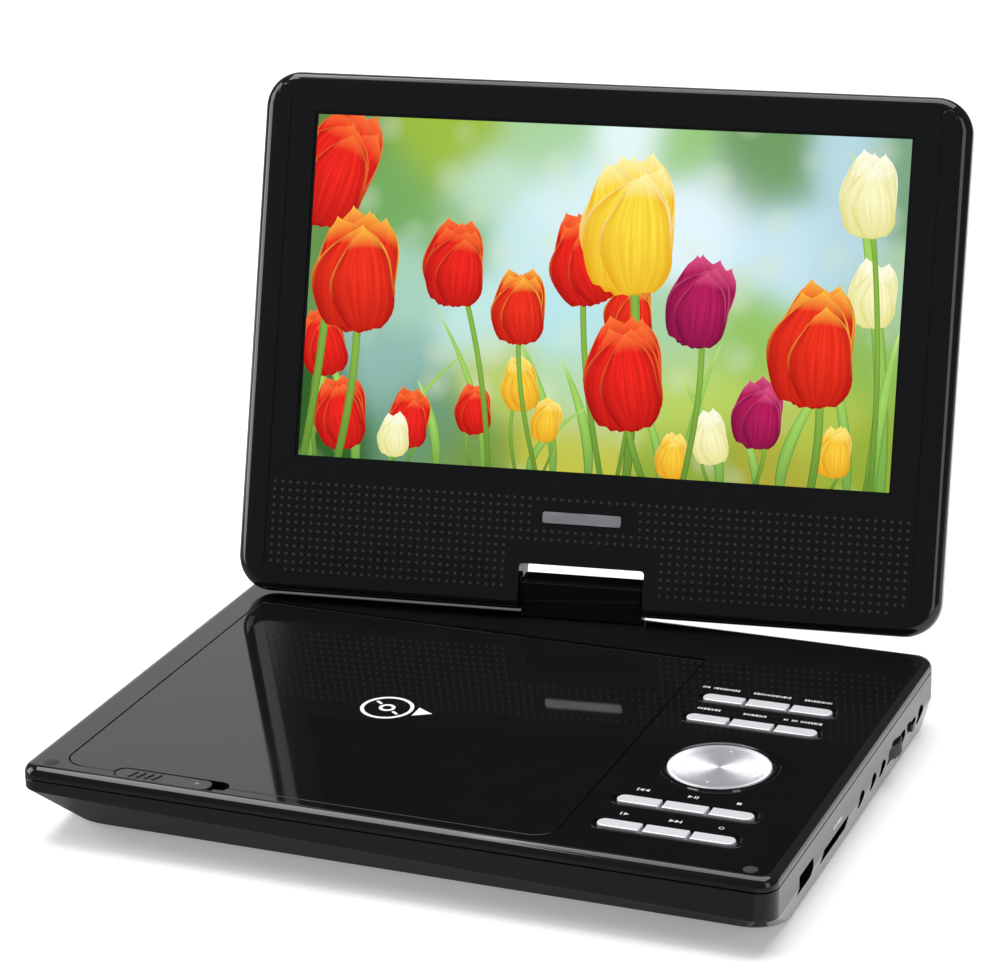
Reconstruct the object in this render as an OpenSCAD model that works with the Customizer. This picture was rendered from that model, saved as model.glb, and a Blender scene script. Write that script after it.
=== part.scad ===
// Portable disc player with a swivelling, tilting screen on a flat base.
// Millimetres, +Z up, +X to the right, +Y to the rear. The origin is on the table, under the middle of the base.

/* [Base] */
// Width of the base, left to right
base_w = 236; // [230:1:242]
// Depth of the base, front to rear
base_d = 174; // [172:1:178]
// Height of the deck above the table
deck_z = 25; // [25:0.5:27]
// Radius of the base's corners, seen from above
base_corner_r = 6; // [5:0.5:12]

// Radius of the underside's front left corner
under_r_left = 16; // [6:1:16]

// Radius of the underside's front right corner
under_r_right = 12; // [6:1:12]

// Radius of the lid's corners, seen from the front
corner_r = 12; // [8:1:16]
// Thickness of the moulded walls
wall = 2; // [1.8:0.1:2.2]

/* [Lid] */
// Thickness of the closed lid
lid_t = 13.5; // [13:0.1:14]
// Height of the lid above its hinge axis
lid_h = 167.3; // [166:0.1:168]
// Height of the visible picture
screen_h = 113.4; // [110:0.1:114]
// Width of the visible picture
screen_w = 198; // [194:1:200]
// How far the lid leans back from upright, at rest
lid_lean = 19.5; // [0:0.5:40]
// How far the lid is swivelled on the base, at rest
lid_swivel = 7.9; // [0:0.1:20]

/* [Controls] */
// Width of one row of three buttons
row_w = 41.6; // [38:0.2:44]
// Depth of one button, front to rear
button_d = 5; // [4:0.2:5.4]
// Radius of the silver navigation disc
nav_r = 15.7; // [13:0.1:16]
// Width of the hinge block between the lid's two sides
block_w = 40.8; // [38:0.2:41]

/* [Hidden] */

$fn = 48;
eps = 0.01;

// Heights in the base
foot_h = 1;
part_z = deck_z - 4;           // seam between the two halves
crease_left = 17.6;
crease_right = 12.0;
deck_t = 1.8;
deck_under = deck_z - deck_t;
floor_z = foot_h + wall;       // inside floor of the lower half
// The underside is smaller than the deck: in at the sides and much further in at the front
under_in = 3;
under_front = 17;
under_rear = 0.1;

// Disc well and door
disc_c = [-28.5, -10];
well_r = 62;
well_floor = 17.5;
door_x0 = -106.4;
door_x1 = 49.6;
door_y0 = -80.4;
door_axis_y = 57.2;
door_gap = 0.4;
door_r = 7;
knuckle_r = deck_t;
door_axis_z = deck_z - knuckle_r;
door_pin_r = 0.75;
running = 0.05;                // radial clearance of a pin that turns in its bore

// Release slider
slider_c = [-70, -80.5];
slider_len = 37;
slider_w = 6;
slider_travel = 4.5;

// Controls: the rows' middles, front to rear
control_x = 79.4;
rows_y = [30, 13.8, -48.8, -65.8];
nav_c = [79.8, -18.4];
button_top = deck_z + 0.35;
button_gap = 1.1;
key_pocket = 0.7;              // depth of the dark recess round a row
key_under = deck_under - 1.9;

// Side sockets, front to rear along the right wall
usb_y = -55.4;
card_y = -25.4;
jack_y = [1.9, 15, 25.4];
wheel_y = 41;
switch_y = 58.5;
dc_y = 69;
usb_z = 12.2;
card_z = 10.3;
jack_z = 11.3;
board_top = 8;
board_t = 1.6;
jack_r = 1.8;
socket_x = 114;                // front faces of the sockets, just inside the right wall

// Disc drive
hub_seat = 18.7;               // a disc lies on the hub at this height
rod_z = 12.5;
rod_x = 17;
rod_r = 1.5;
chassis_z = 7.5;
pickup_rest_y = -26;           // pickup's middle from the hub at its inner stop
screw_x = 26;                  // lead screw beside the pickup
screw_z = 12.2;
motor_y = -52.5;               // near end of the sled motor

// Hinge
hinge_y = 81;
hinge_z = deck_z + lid_t / 2 + 0.75;
block_r = 4.9;
notch_w = block_w + 1;
notch_top = 9.2;
shaft_r = 3;
pin_r = 1.7;
screen_v = 96.7;               // middle of the picture above the hinge axis
lid_low = base_d / 2 - hinge_y;
face = -lid_t / 2;             // front face of the lid in the lid's own frame

// Battery bay in the underside
battery_x0 = -96;
battery_y0 = 24;
battery_w = 132;
battery_d = 41;

foot_at = [[-100, -58], [100, -58], [-100, 72], [100, 72]];
screw_at = [[-110, -58], [105.4, -65.4], [-110, 8], [-110, 76], [48, 78], [108, 76]];
lid_screw_at = [[-108, 150], [108, 150], [-108, 60], [108, 60], [-60, 12], [60, 12]];

hanger_at = [[57.5, -30], [57.5, -5], [102, -34], [102, -3]];

// ---------- shared shapes ----------

// Rounded rectangle between two corners, with true arcs
module round_rect(x0, y0, x1, y1, r) {
    translate([x0 + r, y0]) square([x1 - x0 - 2 * r, y1 - y0]);
    translate([x0, y0 + r]) square([x1 - x0, y1 - y0 - 2 * r]);
    for (x = [x0 + r, x1 - r], y = [y0 + r, y1 - r]) translate([x, y]) circle(r = r);
}

// Plate with the base's outline, drawn in by a margin, and by margins of its own at front and rear
module base_plate(z, t, margin = 0, front = 0, rear = 0) {
    translate([0, 0, z])
        linear_extrude(t)
            round_rect(-base_w / 2 + margin, -base_d / 2 + max(margin, front),
                       base_w / 2 - margin, base_d / 2 - max(rear, rear > 0 ? 0 : margin),
                       base_corner_r - min(margin, 4));
}

// Boat-shaped lower half: straight upper wall, sides slightly in, front well in
module lower_hull(shrink, low, high) {
    hull() {
        base_plate(high - 0.4, 0.4, shrink, $fn = 32);
        // The crease falls from left to right, a hair inside the upper outline
        for (sx = [-1, 1], sy = [-1, 1])
            translate([sx * (base_w / 2 - base_corner_r), sy * (base_d / 2 - base_corner_r),
                       (sx < 0 ? crease_left : crease_right) + shrink / 2 + sy * 0.013])
                cylinder(r = base_corner_r - shrink - 0.002, h = 0.03, $fn = 32);
        for (c = under_corners(shrink))
            translate([c[0], c[1], low]) cylinder(r = c[2], h = 0.4, $fn = 32);
    }
}

// Corner circles of the underside: x, y and radius, front left first
function under_corners(shrink) =
    let (x = base_w / 2 - under_in - shrink,
         y0 = -base_d / 2 + under_front + shrink,
         y1 = base_d / 2 - under_rear - shrink,
         rl = under_r_left - shrink,
         rr = under_r_right - shrink,
         rb = base_corner_r - min(under_in + shrink, 4))
    [[-x + rl, y0 + rl, rl], [x - rr, y0 + rr, rr], [x - rb, y1 - rb, rb], [-x + rb, y1 - rb, rb]];

// A straight cylinder along X between two x values
module bar_x(x0, x1, r) {
    translate([x0, 0, 0]) rotate([0, 90, 0]) cylinder(r = r, h = x1 - x0);
}

// Puts children from the lid's upright frame to its rest position
module lid_place() {
    translate([0, hinge_y, hinge_z])
        rotate([0, 0, lid_swivel])
            rotate([-lid_lean, 0, 0])
                children();
}

// Puts children from the swivel's straight position to its rest position
module swivel_place() {
    translate([0, hinge_y, 0]) rotate([0, 0, lid_swivel]) children();
}

// Plate in the lid's frame: outline in X and Z, thickness along Y
module lid_plate(y, t, margin = 0) {
    r = corner_r - min(margin, 5);
    translate([0, y + t, 0])
        rotate([90, 0, 0])
            linear_extrude(t)
                round_rect(-base_w / 2 + margin, -lid_low + margin,
                           base_w / 2 - margin, lid_h - margin, r);
}

// A rounded bar seen from above, used for slots and pockets
module pill(len, wid, z, t) {
    translate([0, 0, z])
        linear_extrude(t) {
            square([len - wid, wid], center = true);
            for (s = [-1, 1]) translate([s * (len - wid) / 2, 0]) circle(d = wid);
        }
}

// ---------- lower half of the base ----------

module base_bottom() {
    color([0.1, 0.1, 0.1])
    difference() {
        lower_hull(0, foot_h, part_z);
        lower_hull(wall, floor_z, part_z + 1);
        side_cuts();
        battery_opening();
        for (p = screw_at) translate([p[0], p[1], foot_h - 1]) cylinder(r = 1.6, h = 10);
    }
    // Posts the main board rests on
    color([0.1, 0.1, 0.1])
    for (p = [[60, -50], [60, 64], [104, -44], [104, 62]])
        translate([p[0], p[1], floor_z - 0.5]) cylinder(r = 2, h = board_top - board_t - floor_z + 0.5);
}

module side_cuts() {
    x0 = base_w / 2 - 8;
    translate([x0, usb_y - 6.9, usb_z - 3.2]) cube([12, 13.8, 6.4]);
    translate([x0, card_y - 13, card_z - 2.3]) cube([12, 26, 4.6]);
    for (y = jack_y) translate([0, y, jack_z]) bar_x(x0, x0 + 12, 2.9);
    translate([x0, wheel_y - 9.6, 9.1]) cube([12, 19.2, 5.4]);
    translate([x0, switch_y - 4.5, 10.4]) cube([12, 9, 3.2]);
    translate([0, dc_y, jack_z]) bar_x(x0, x0 + 12, 3.3);
}

module battery_opening() {
    translate([battery_x0, battery_y0, foot_h - 1]) cube([battery_w, battery_d, wall + 2]);
}

module battery_cover() {
    color([0.12, 0.12, 0.12]) {
        translate([battery_x0 + 0.3, battery_y0 + 0.3, foot_h])
            cube([battery_w - 0.6, battery_d - 0.6, wall]);
        for (x = [20, 100])
            translate([battery_x0 + x, battery_y0 + 2, foot_h + wall]) cube([12, 1.5, 0.8]);
    }
}

module rubber_feet() {
    color([0.05, 0.05, 0.05])
    for (p = foot_at) translate([p[0], p[1], 0]) {
        cylinder(r1 = 4.6, r2 = 5, h = 0.4);
        translate([0, 0, 0.4]) cylinder(r = 5, h = foot_h - 0.4);
    }
}

module base_screws() {
    color([0.25, 0.25, 0.26])
    for (p = screw_at) translate([p[0], p[1], 0]) {
        translate([0, 0, foot_h + 0.1]) difference() {
            cylinder(r = 1.5, h = 1.2);
            for (a = [0, 90]) rotate([0, 0, a]) translate([-0.9, -0.2, -eps]) cube([1.8, 0.4, 0.6]);
        }
        translate([0, 0, foot_h + 1.3]) cylinder(r = 1.1, h = 12);
    }
}

module battery_pack() {
    color([0.15, 0.25, 0.5])
    translate([battery_x0 + 4, battery_y0 + 1, floor_z + 1]) cube([battery_w - 8, battery_d - 2, 10.5]);
}

// ---------- upper half of the base ----------

module base_top() {
    color([0.08, 0.08, 0.08])
    difference() {
        union() {
            difference() {
                hull() {
                    base_plate(part_z, 1.4, 0, $fn = 32);
                    base_plate(deck_z - 1, 1, 2.6, $fn = 32);
                }
                base_plate(part_z - eps, deck_under - part_z, 3);
            }
            for (p = screw_at) translate([p[0], p[1], floor_z + 0.3]) post();
            for (p = hanger_at) translate([p[0], p[1], key_under - 1.5])
                cylinder(r = 1.5, h = deck_under - key_under + 2);
            for (x = [door_x0 - 7 - door_gap, door_x1 + door_gap])
                translate([x, door_axis_y - 3, part_z + 0.2]) cube([7, 6, deck_under - part_z + 1]);
        }
        door_opening();
        for (y = rows_y) translate([control_x, y, 0]) {
            pill(row_w + 3.2, button_d + 2.6, deck_z - key_pocket, 2);
            pill(row_w + 0.8, button_d + 0.8, part_z, 5);
        }
        translate([nav_c[0], nav_c[1], part_z]) cylinder(r = nav_r + 2.7, h = 6);
        translate([slider_c[0], slider_c[1], 0]) {
            pill(slider_len, slider_w + 0.6, deck_z - 0.9, 2);
            translate([-slider_len / 2 + 6, -1.6, part_z]) cube([slider_len - 12, 3.2, 6]);
        }
        translate([0, hinge_y, part_z]) cylinder(r = shaft_r + 0.3, h = 6);
        translate([0, door_axis_y, door_axis_z])
            bar_x(door_x0 - 6, door_x1 + 6, door_pin_r);
        for (x = [-1, 1]) translate([x * 109.4, -81, deck_z - 0.6]) cylinder(r = 2.2, h = 2);
    }
}

// Screw post under the deck
module post() {
    difference() {
        cylinder(r = 2.2, h = deck_under - floor_z);
        translate([0, 0, -1]) cylinder(r = 1.15, h = 15);
    }
}

module door_opening() {
    back = door_axis_y + knuckle_r + door_gap;
    translate([0, 0, part_z - 2])
        linear_extrude(8) {
            round_rect(door_x0 - door_gap, door_y0 - door_gap, door_x1 + door_gap, back, door_r);
            translate([door_x0 - door_gap, 0])
                square([door_x1 - door_x0 + 2 * door_gap, back]);
        }
}

module deck_bumpers() {
    color([0.2, 0.2, 0.2])
    for (x = [-1, 1]) translate([x * 109.4, -81, deck_z - 0.6]) {
        cylinder(r = 2.15, h = 0.7);
        translate([0, 0, 0.7]) cylinder(r1 = 2.15, r2 = 1.6, h = 0.15);
    }
}

// ---------- disc well ----------

// Round well with a finger scoop at each side
module well_outline(extra) {
    circle(r = well_r + extra);
    for (a = [38, 218]) rotate(a) translate([well_r - 6, 0]) circle(r = 13 + extra);
}

module disc_well() {
    color([0.13, 0.13, 0.14])
    difference() {
        union() {
            translate([0, 0, deck_under - 2.4])
                linear_extrude(1.6)
                    round_rect(door_x0 + 0.6, door_y0 + 0.6, door_x1 - 0.6, door_axis_y - 3.2, 6);
            translate([disc_c[0], disc_c[1], well_floor - 1.6])
                linear_extrude(deck_under - 0.8 - well_floor + 1.6) well_outline(1.6);
        }
        translate([disc_c[0], disc_c[1], well_floor]) linear_extrude(8) well_outline(0);
        drive_place() translate([0, 0, well_floor - 4]) {
            cylinder(r = 18, h = 6);
            translate([-14, -60, 0]) cube([28, 52, 6]);
        }
        // Room for the catch of the release slider
        translate([slider_c[0] - 14, door_y0 - 2, well_floor]) cube([28, 9, 8]);
    }
}

// ---------- disc door ----------

module disc_door() {
    color([0.08, 0.08, 0.08])
    difference() {
        union() {
            difference() {
                translate([0, 0, deck_under])
                    linear_extrude(deck_t)
                        round_rect(door_x0, door_y0, door_x1, door_axis_y, door_r);
                translate([door_x0 - 1, door_axis_y - door_r - 1, deck_under - 1])
                    cube([door_x1 - door_x0 + 2, 20, 5]);
            }
            translate([door_x0, door_axis_y - door_r - 1, deck_under])
                cube([door_x1 - door_x0, door_r + 1, deck_t]);
            translate([0, door_axis_y, door_axis_z]) bar_x(door_x0, door_x1, knuckle_r);
            // Catch that the release slider holds
            translate([slider_c[0] - 3, door_y0 + 3.7, deck_under - 2.4]) cube([6, 1.6, 2.4]);
        }
        for (x = [door_x0 - 1, door_x1 - 6])
            translate([0, door_axis_y, door_axis_z]) bar_x(x, x + 7, door_pin_r + running);
        // Notch for the release slider
        translate([slider_c[0], slider_c[1], 0]) pill(slider_len + 0.6, slider_w + 1, deck_under - 0.3, 3);
        // Room for the spring in the middle of the hinge line
        translate([-36, door_axis_y - 3, deck_under - 3]) cube([15, 8, 4.4]);
    }
}

module door_hinge_pins() {
    color([0.75, 0.75, 0.77])
    for (x = [door_x0 - 6, door_x1 - 5.5])
        translate([0, door_axis_y, door_axis_z]) bar_x(x, x + 11.5, door_pin_r);
}

// Torsion spring: turns as rings, with a leg on each side
module door_spring() {
    color([0.7, 0.7, 0.72])
    translate([-28.5, door_axis_y, door_axis_z]) {
        for (i = [0:6]) translate([-3 + i * 1, 0, 0]) rotate([0, 90, 0])
            rotate_extrude() translate([1, 0]) circle(r = 0.25, $fn = 16);
        translate([-3.2, -0.3, -8]) cube([0.5, 0.5, 7.2]);
    }
}

// Pill-shaped thumb slider with ribs and a hook under the deck
module release_slider() {
    len = slider_len - slider_travel - 1;
    color([0.1, 0.1, 0.1])
    translate([slider_c[0], slider_c[1], 0]) {
        translate([-slider_travel / 2 - 0.2, 0, 0]) pill(len, slider_w, deck_z - 0.7, 0.7);
        for (i = [0:3])
            translate([-12.5 + i * 2.6, 0, deck_z])
                rotate([0, 0, -20]) translate([-0.5, -2, 0]) cube([1, 4, 0.35]);
        translate([-10, -1.1, deck_under - 2.6]) cube([14, 2.2, 4.5]);
        translate([-6, -1.1, deck_under - 2.6]) cube([5, 4.2, 1.2]);
    }
}

// ---------- controls ----------

// One of the three buttons of a row; the outer ends of the row are round
module button(row, col) {
    w = (row_w - 2 * button_gap) / 3;
    x = (col - 1) * (w + button_gap);
    color([0.78, 0.78, 0.8])
    translate([control_x, rows_y[row], 0]) {
        intersection() {
            pill(row_w, button_d, key_under, button_top - key_under);
            translate([x - w / 2, -button_d, 0]) cube([w, 2 * button_d, 40]);
        }
        translate([x - w / 2 + 0.4, -button_d / 2 - 0.7, key_under])
            cube([w - 0.8, button_d + 1.4, 1.5]);
    }
}

module nav_ring() {
    color([0.06, 0.06, 0.06])
    translate([nav_c[0], nav_c[1], 0])
        rotate_extrude($fn = 96) {
            translate([nav_r + 0.5, deck_under - 0.9]) square([2.1, deck_t + 0.9]);
            translate([nav_r + 0.5, deck_under - 1]) square([4, 0.95]);
            translate([nav_r + 1.55, deck_z]) circle(r = 0.5, $fn = 24);
        }
}

module nav_disc() {
    color([0.8, 0.8, 0.82])
    translate([nav_c[0], nav_c[1], 0]) {
        translate([0, 0, deck_z - 1.4]) cylinder(r = nav_r, h = 1.7, $fn = 96);
        translate([0, 0, deck_z - 2.4]) cylinder(r = 6, h = 1);
    }
}

module nav_stem() {
    color([0.3, 0.3, 0.3])
    translate([nav_c[0], nav_c[1], deck_z - 4]) {
        cylinder(r = 4, h = 1.2);
        cylinder(r = 2.2, h = 1.35);
    }
}

module keypad_membrane() {
    color([0.75, 0.75, 0.7])
    difference() {
        translate([control_x - 24, -73, key_under - 1.4]) cube([48, 110, 0.6]);
        for (p = hanger_at) translate([p[0], p[1], 0]) cylinder(r = 1.8, h = 30);
        for (p = screw_at) translate([p[0], p[1], 0]) cylinder(r = 2.8, h = 30);
    }
}

module keypad_board() {
    color([0.1, 0.35, 0.15])
    difference() {
        translate([control_x - 25, -74, key_under - 3]) cube([50, 112, 1.5]);
        for (p = screw_at) translate([p[0], p[1], 0]) cylinder(r = 2.8, h = 30);
    }
}

// ---------- electronics and side sockets ----------

module main_board() {
    color([0.1, 0.35, 0.15])
    difference() {
        translate([54, -62, board_top - board_t]) cube([57, 138, board_t]);
        for (p = screw_at) translate([p[0], p[1], 0]) cylinder(r = 2.8, h = 12);
    }
}

module usb_socket() {
    color([0.75, 0.75, 0.76])
    translate([socket_x - 14, usb_y - 6.6, board_top + 0.5]) difference() {
        cube([14, 13.2, 7]);
        translate([1, 0.4, 0.4]) cube([15, 12.4, 6.2]);
    }
    color([0.9, 0.9, 0.9])
    translate([socket_x - 13, usb_y - 5.5, board_top + 4.6]) cube([11, 11, 1.8]);
}

module card_socket() {
    color([0.7, 0.7, 0.72])
    translate([socket_x - 25, card_y - 13.8, board_top + 0.1]) difference() {
        cube([25, 27.6, 4]);
        translate([1, 1.2, 0.7]) cube([27, 25.2, 2.8]);
    }
}

module jack_shell(y, r, len) {
    translate([0, y, 0]) difference() {
        union() {
            translate([socket_x - len, -3.2, board_top]) cube([len, 6.4, 6]);
            translate([0, 0, jack_z]) bar_x(socket_x - 1, socket_x + 2.6, r + 0.9);
        }
        translate([0, 0, jack_z]) bar_x(socket_x - len + 1, socket_x + 8, r);
    }
}

module phone_jacks() {
    color([0.09, 0.09, 0.09])
    for (y = jack_y) jack_shell(y, jack_r, 14);
}

module dc_jack() {
    color([0.09, 0.09, 0.09]) jack_shell(dc_y, 2.2, 14);
    color([0.8, 0.8, 0.8]) translate([0, dc_y, jack_z]) bar_x(socket_x - 13.5, socket_x, 0.65);
}

module power_switch() {
    color([0.7, 0.7, 0.72])
    translate([108.5, switch_y - 4.6, board_top]) cube([5.5, 9.2, 5.6]);
}

module switch_knob() {
    color([0.07, 0.07, 0.07]) {
        translate([114.3, switch_y - 4, 10.7]) cube([1.4, 5.2, 2.6]);
        translate([114.3, switch_y - 2.9, 10.9]) cube([4.6, 3.4, 2.2]);
    }
}

// Flat potentiometer under the thumbwheel, with its shaft
module volume_control() {
    color([0.3, 0.3, 0.32])
    translate([base_w / 2 - 9, wheel_y, board_top]) {
        translate([-5, -5, 0]) cube([9, 10, 1.1]);
        cylinder(r = 1.5, h = 4.2);
    }
}

// Knurled thumbwheel: the rim is a ring of small teeth
module volume_wheel() {
    teeth = 36;
    color([0.07, 0.07, 0.07])
    translate([base_w / 2 - 9, wheel_y, 9.5]) difference() {
        linear_extrude(4.6)
            polygon([for (i = [0:2 * teeth - 1])
                let (a = i * 180 / teeth, r = i % 2 == 0 ? 10.4 : 9.8)
                [r * cos(a), r * sin(a)]]);
        translate([0, 0, 3.9]) cylinder(r = 6, h = 2);
        translate([0, 0, -1]) cylinder(r = 1.55, h = 4);
    }
}

// ---------- disc drive ----------

// The drive is drawn with its pickup moving along -Y, then turned to point to the right
module drive_place() {
    translate([disc_c[0], disc_c[1], 0]) rotate([0, 0, 90]) children();
}

module traverse_chassis() {
    color([0.6, 0.6, 0.62])
    drive_place() difference() {
        union() {
            translate([-32, -72, chassis_z]) cube([64, 92, 1.2]);
            // Rod holders at both ends
            for (x = [-rod_x, rod_x], y = [-66, -15])
                translate([x - 2.6, y, chassis_z]) cube([5.2, 3, rod_z - chassis_z + 2.6]);
            // Cradle of the sled motor and bearing of the lead screw
            translate([screw_x - 2.5, motor_y - 10, chassis_z]) cube([5, 9, screw_z - chassis_z - 1.5]);
            translate([screw_x - 2, -8.5, chassis_z]) cube([4.5, 2.5, screw_z - chassis_z + 2.2]);
        }
        translate([screw_x, motor_y + 1, screw_z]) rotate([90, 0, 0]) cylinder(r = 3, h = 14);
        translate([screw_x, 0, screw_z]) rotate([90, 0, 0]) cylinder(r = 0.75 + running, h = 12);
        translate([-12, -60, chassis_z - 1]) cube([24, 42, 4]);
        translate([0, 0, chassis_z - 1]) cylinder(r = 4, h = 4);
        for (x = [-rod_x, rod_x])
            translate([x, 0, rod_z]) rotate([90, 0, 0]) translate([0, 0, 11]) cylinder(r = rod_r, h = 56);
        for (x = [-27.5, 27.5], y = [-67.5, 15.5])
            translate([x, y, chassis_z - 1]) cylinder(r = 2.5, h = 4);
    }
}

module dampers() {
    color([0.15, 0.15, 0.15])
    drive_place()
        for (x = [-27.5, 27.5], y = [-67.5, 15.5])
            translate([x, y, 0]) difference() {
                union() {
                    translate([0, 0, floor_z]) cylinder(r = 3.6, h = chassis_z - floor_z);
                    translate([0, 0, chassis_z]) cylinder(r = 2.5, h = 1.2);
                    translate([0, 0, chassis_z + 1.2]) cylinder(r = 3.4, h = 1.4);
                }
                translate([0, 0, floor_z - 1]) cylinder(r = 1.3, h = 12);
            }
}

module guide_rods() {
    color([0.8, 0.8, 0.82])
    drive_place()
        for (x = [-rod_x, rod_x])
            translate([x, -12, rod_z]) rotate([90, 0, 0]) cylinder(r = rod_r, h = 54);
}

module spindle_motor() {
    color([0.5, 0.5, 0.52])
    drive_place() difference() {
        union() {
            translate([0, 0, chassis_z + 1.2]) cylinder(r = 10, h = 2.6);
            translate([0, 0, chassis_z - 2.4]) cylinder(r = 3.6, h = 5);
        }
        translate([0, 0, chassis_z - 1.4]) cylinder(r = 1 + running, h = 12);
    }
}

// Rotor, disc seat and centring boss in one turning piece
module turntable_hub() {
    color([0.16, 0.16, 0.17])
    drive_place() {
        translate([0, 0, chassis_z - 1.2]) cylinder(r = 1, h = 6);
        translate([0, 0, chassis_z + 4.3]) cylinder(r = 10.5, h = hub_seat - chassis_z - 5.5);
        translate([0, 0, hub_seat - 1.2]) cylinder(r = 14, h = 1.2);
        translate([0, 0, hub_seat]) cylinder(r = 7.4, h = 1.8);
        translate([0, 0, hub_seat + 1.8]) cylinder(r1 = 7.4, r2 = 6.2, h = 0.8);
    }
}

module optical_pickup() {
    color([0.25, 0.25, 0.26])
    drive_place() translate([0, pickup_rest_y, 0]) difference() {
        union() {
            translate([-21.5, -6, rod_z - 2.6]) cube([43, 12, 5.4]);
            translate([-11, -9.5, rod_z - 3]) cube([22, 19, 6.2]);
            // Finger that follows the lead screw
            translate([20, 3.5, rod_z - 1.2]) cube([4.1, 2, 2]);
            cylinder_lens();
        }
        for (x = [-rod_x, rod_x])
            translate([x, 20, rod_z]) rotate([90, 0, 0]) cylinder(r = rod_r + running, h = 40);
    }
}

module cylinder_lens() {
    translate([0, 0, rod_z + 3.2]) cylinder(r = 4, h = 1);
    translate([0, 0, rod_z + 4.2]) cylinder(r1 = 2.6, r2 = 1.6, h = 0.7);
}

module sled_motor() {
    color([0.6, 0.6, 0.62])
    drive_place() translate([screw_x, motor_y, screw_z]) rotate([90, 0, 0]) difference() {
        cylinder(r = 3, h = 11);
        translate([0, 0, -1]) cylinder(r = 0.75 + running, h = 5);
    }
}

module lead_screw() {
    color([0.8, 0.75, 0.6])
    drive_place() translate([screw_x, motor_y + 1, screw_z]) rotate([90, 0, 0]) {
        translate([0, 0, -45]) cylinder(r = 0.75, h = 49.5);
        translate([0, 0, -42]) cylinder(r = 1.3, h = 42);
        for (i = [0:13]) translate([0, 0, -41.5 + i * 3]) cylinder(r = 1.6, h = 1.2);
    }
}

// ---------- hinge ----------

module swivel_bearing() {
    color([0.65, 0.65, 0.67])
    difference() {
        union() {
            translate([-13, 72, 6]) cube([26, 12.6, 13.5]);
            translate([-22, 66, floor_z]) cube([44, 6.4, 6]);
            translate([-22, 66, 6]) cube([44, 10, 3]);
        }
        translate([0, hinge_y, 0]) cylinder(r = shaft_r + running, h = 30);
    }
}

module swivel_shaft() {
    color([0.8, 0.8, 0.82])
    translate([0, hinge_y, 4.2]) cylinder(r = shaft_r, h = 25);
}

module swivel_nut() {
    color([0.7, 0.7, 0.72])
    translate([0, hinge_y, 4.3]) difference() {
        cylinder(r = 3.9, h = 1.4);
        translate([0, 0, -1]) cylinder(r = shaft_r, h = 4);
    }
}

module hinge_block() {
    color([0.08, 0.08, 0.08])
    swivel_place() difference() {
        union() {
            translate([0, 0, hinge_z]) bar_x(-block_w / 2, block_w / 2, block_r);
            translate([-block_w / 2, -block_r, deck_z + 0.3])
                cube([block_w, 2 * block_r, hinge_z - deck_z - 0.3]);
        }
        translate([0, 0, deck_z]) cylinder(r = shaft_r, h = 4.2);
        for (s = [-1, 1])
            translate([0, 0, hinge_z]) bar_x(min(s * 9, s * 22), max(s * 9, s * 22), pin_r);
    }
}

module tilt_pins() {
    color([0.8, 0.8, 0.82])
    swivel_place()
        for (s = [-1, 1]) translate([0, 0, hinge_z]) {
            bar_x(min(s * 9.5, s * 36), max(s * 9.5, s * 36), pin_r);
            bar_x(min(s * 34.4, s * 36), max(s * 34.4, s * 36), 2.6);
        }
}

// ---------- lid ----------

module lid_hinge_brackets() {
    color([0.65, 0.65, 0.67])
    lid_place()
        for (s = [-1, 1]) difference() {
            union() {
                bar_x(min(s * 23, s * 34), max(s * 23, s * 34), 3.2);
                translate([min(s * 23, s * 34), -1, 0]) cube([11, 2, 26]);
            }
            bar_x(min(s * 22, s * 35), max(s * 22, s * 35), pin_r + running);
            translate([s * 28.5, 5, 18]) rotate([90, 0, 0]) cylinder(r = 1.3, h = 10);
        }
}

// Cut through the lid's lower edge round the hinge block
module hinge_notch() {
    translate([-notch_w / 2, -20, -20]) cube([notch_w, 40, 20 + notch_top]);
}

// Passage for a tilt pin through the side walls of the notch
module pin_passage() {
    bar_x(-38, 38, pin_r + 0.5);
}

module lid_bezel() {
    color([0.07, 0.07, 0.07])
    lid_place() difference() {
        hull() {
            lid_plate(face, 0.6, 3.4, $fn = 32);
            lid_plate(face + 2.6, -1.5 - face - 2.6, 0, $fn = 32);
        }
        difference() {
            lid_plate(face + 1.2, 10, 2.2);
            translate([-notch_w / 2 - 1.4, -20, -20]) cube([notch_w + 2.8, 40, 21.4 + notch_top]);
        }
        translate([-screen_w / 2, -20, screen_v - screen_h / 2]) cube([screen_w, 40, screen_h]);
        hinge_notch();
        pin_passage();
        for (x = [-1, 1]) translate([x * 110.3, face + 0.5, 160.6]) rotate([90, 0, 0]) cylinder(r = 2.6, h = 4);
    }
}

module lid_back() {
    color([0.07, 0.07, 0.07])
    lid_place() difference() {
        hull() {
            lid_plate(lid_t / 2 - 0.6, 0.6, 4, $fn = 32);
            lid_plate(-1.5, 3.4, 0, $fn = 32);
        }
        difference() {
            union() {
                lid_plate(-4, 7.3, 2.6);
                lid_plate(3, lid_t / 2 - 3 - 1.8, 4.5);
            }
            translate([-notch_w / 2 - 1.4, -20, -20]) cube([notch_w + 2.8, 40, 21.4 + notch_top]);
        }
        hinge_notch();
        pin_passage();
        for (p = lid_screw_at) translate([p[0], 0, p[1]]) rotate([-90, 0, 0]) {
            cylinder(r = 1.3, h = 12);
            translate([0, 0, lid_t / 2 - 1]) cylinder(r = 2.4, h = 4);
        }
    }
}

module screen_glass() {
    color([0.3, 0.5, 0.35])
    lid_place()
        translate([-screen_w / 2 - 2, face + 1.3, screen_v - screen_h / 2 - 2])
            cube([screen_w + 4, 0.8, screen_h + 4]);
}

module lcd_panel() {
    color([0.6, 0.6, 0.62])
    lid_place() {
        translate([-105, face + 2.2, screen_v - 62]) cube([210, 4, 122]);
        translate([-70, face + 6.2, screen_v - 50]) cube([140, 1.6, 60]);
    }
}

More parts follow.
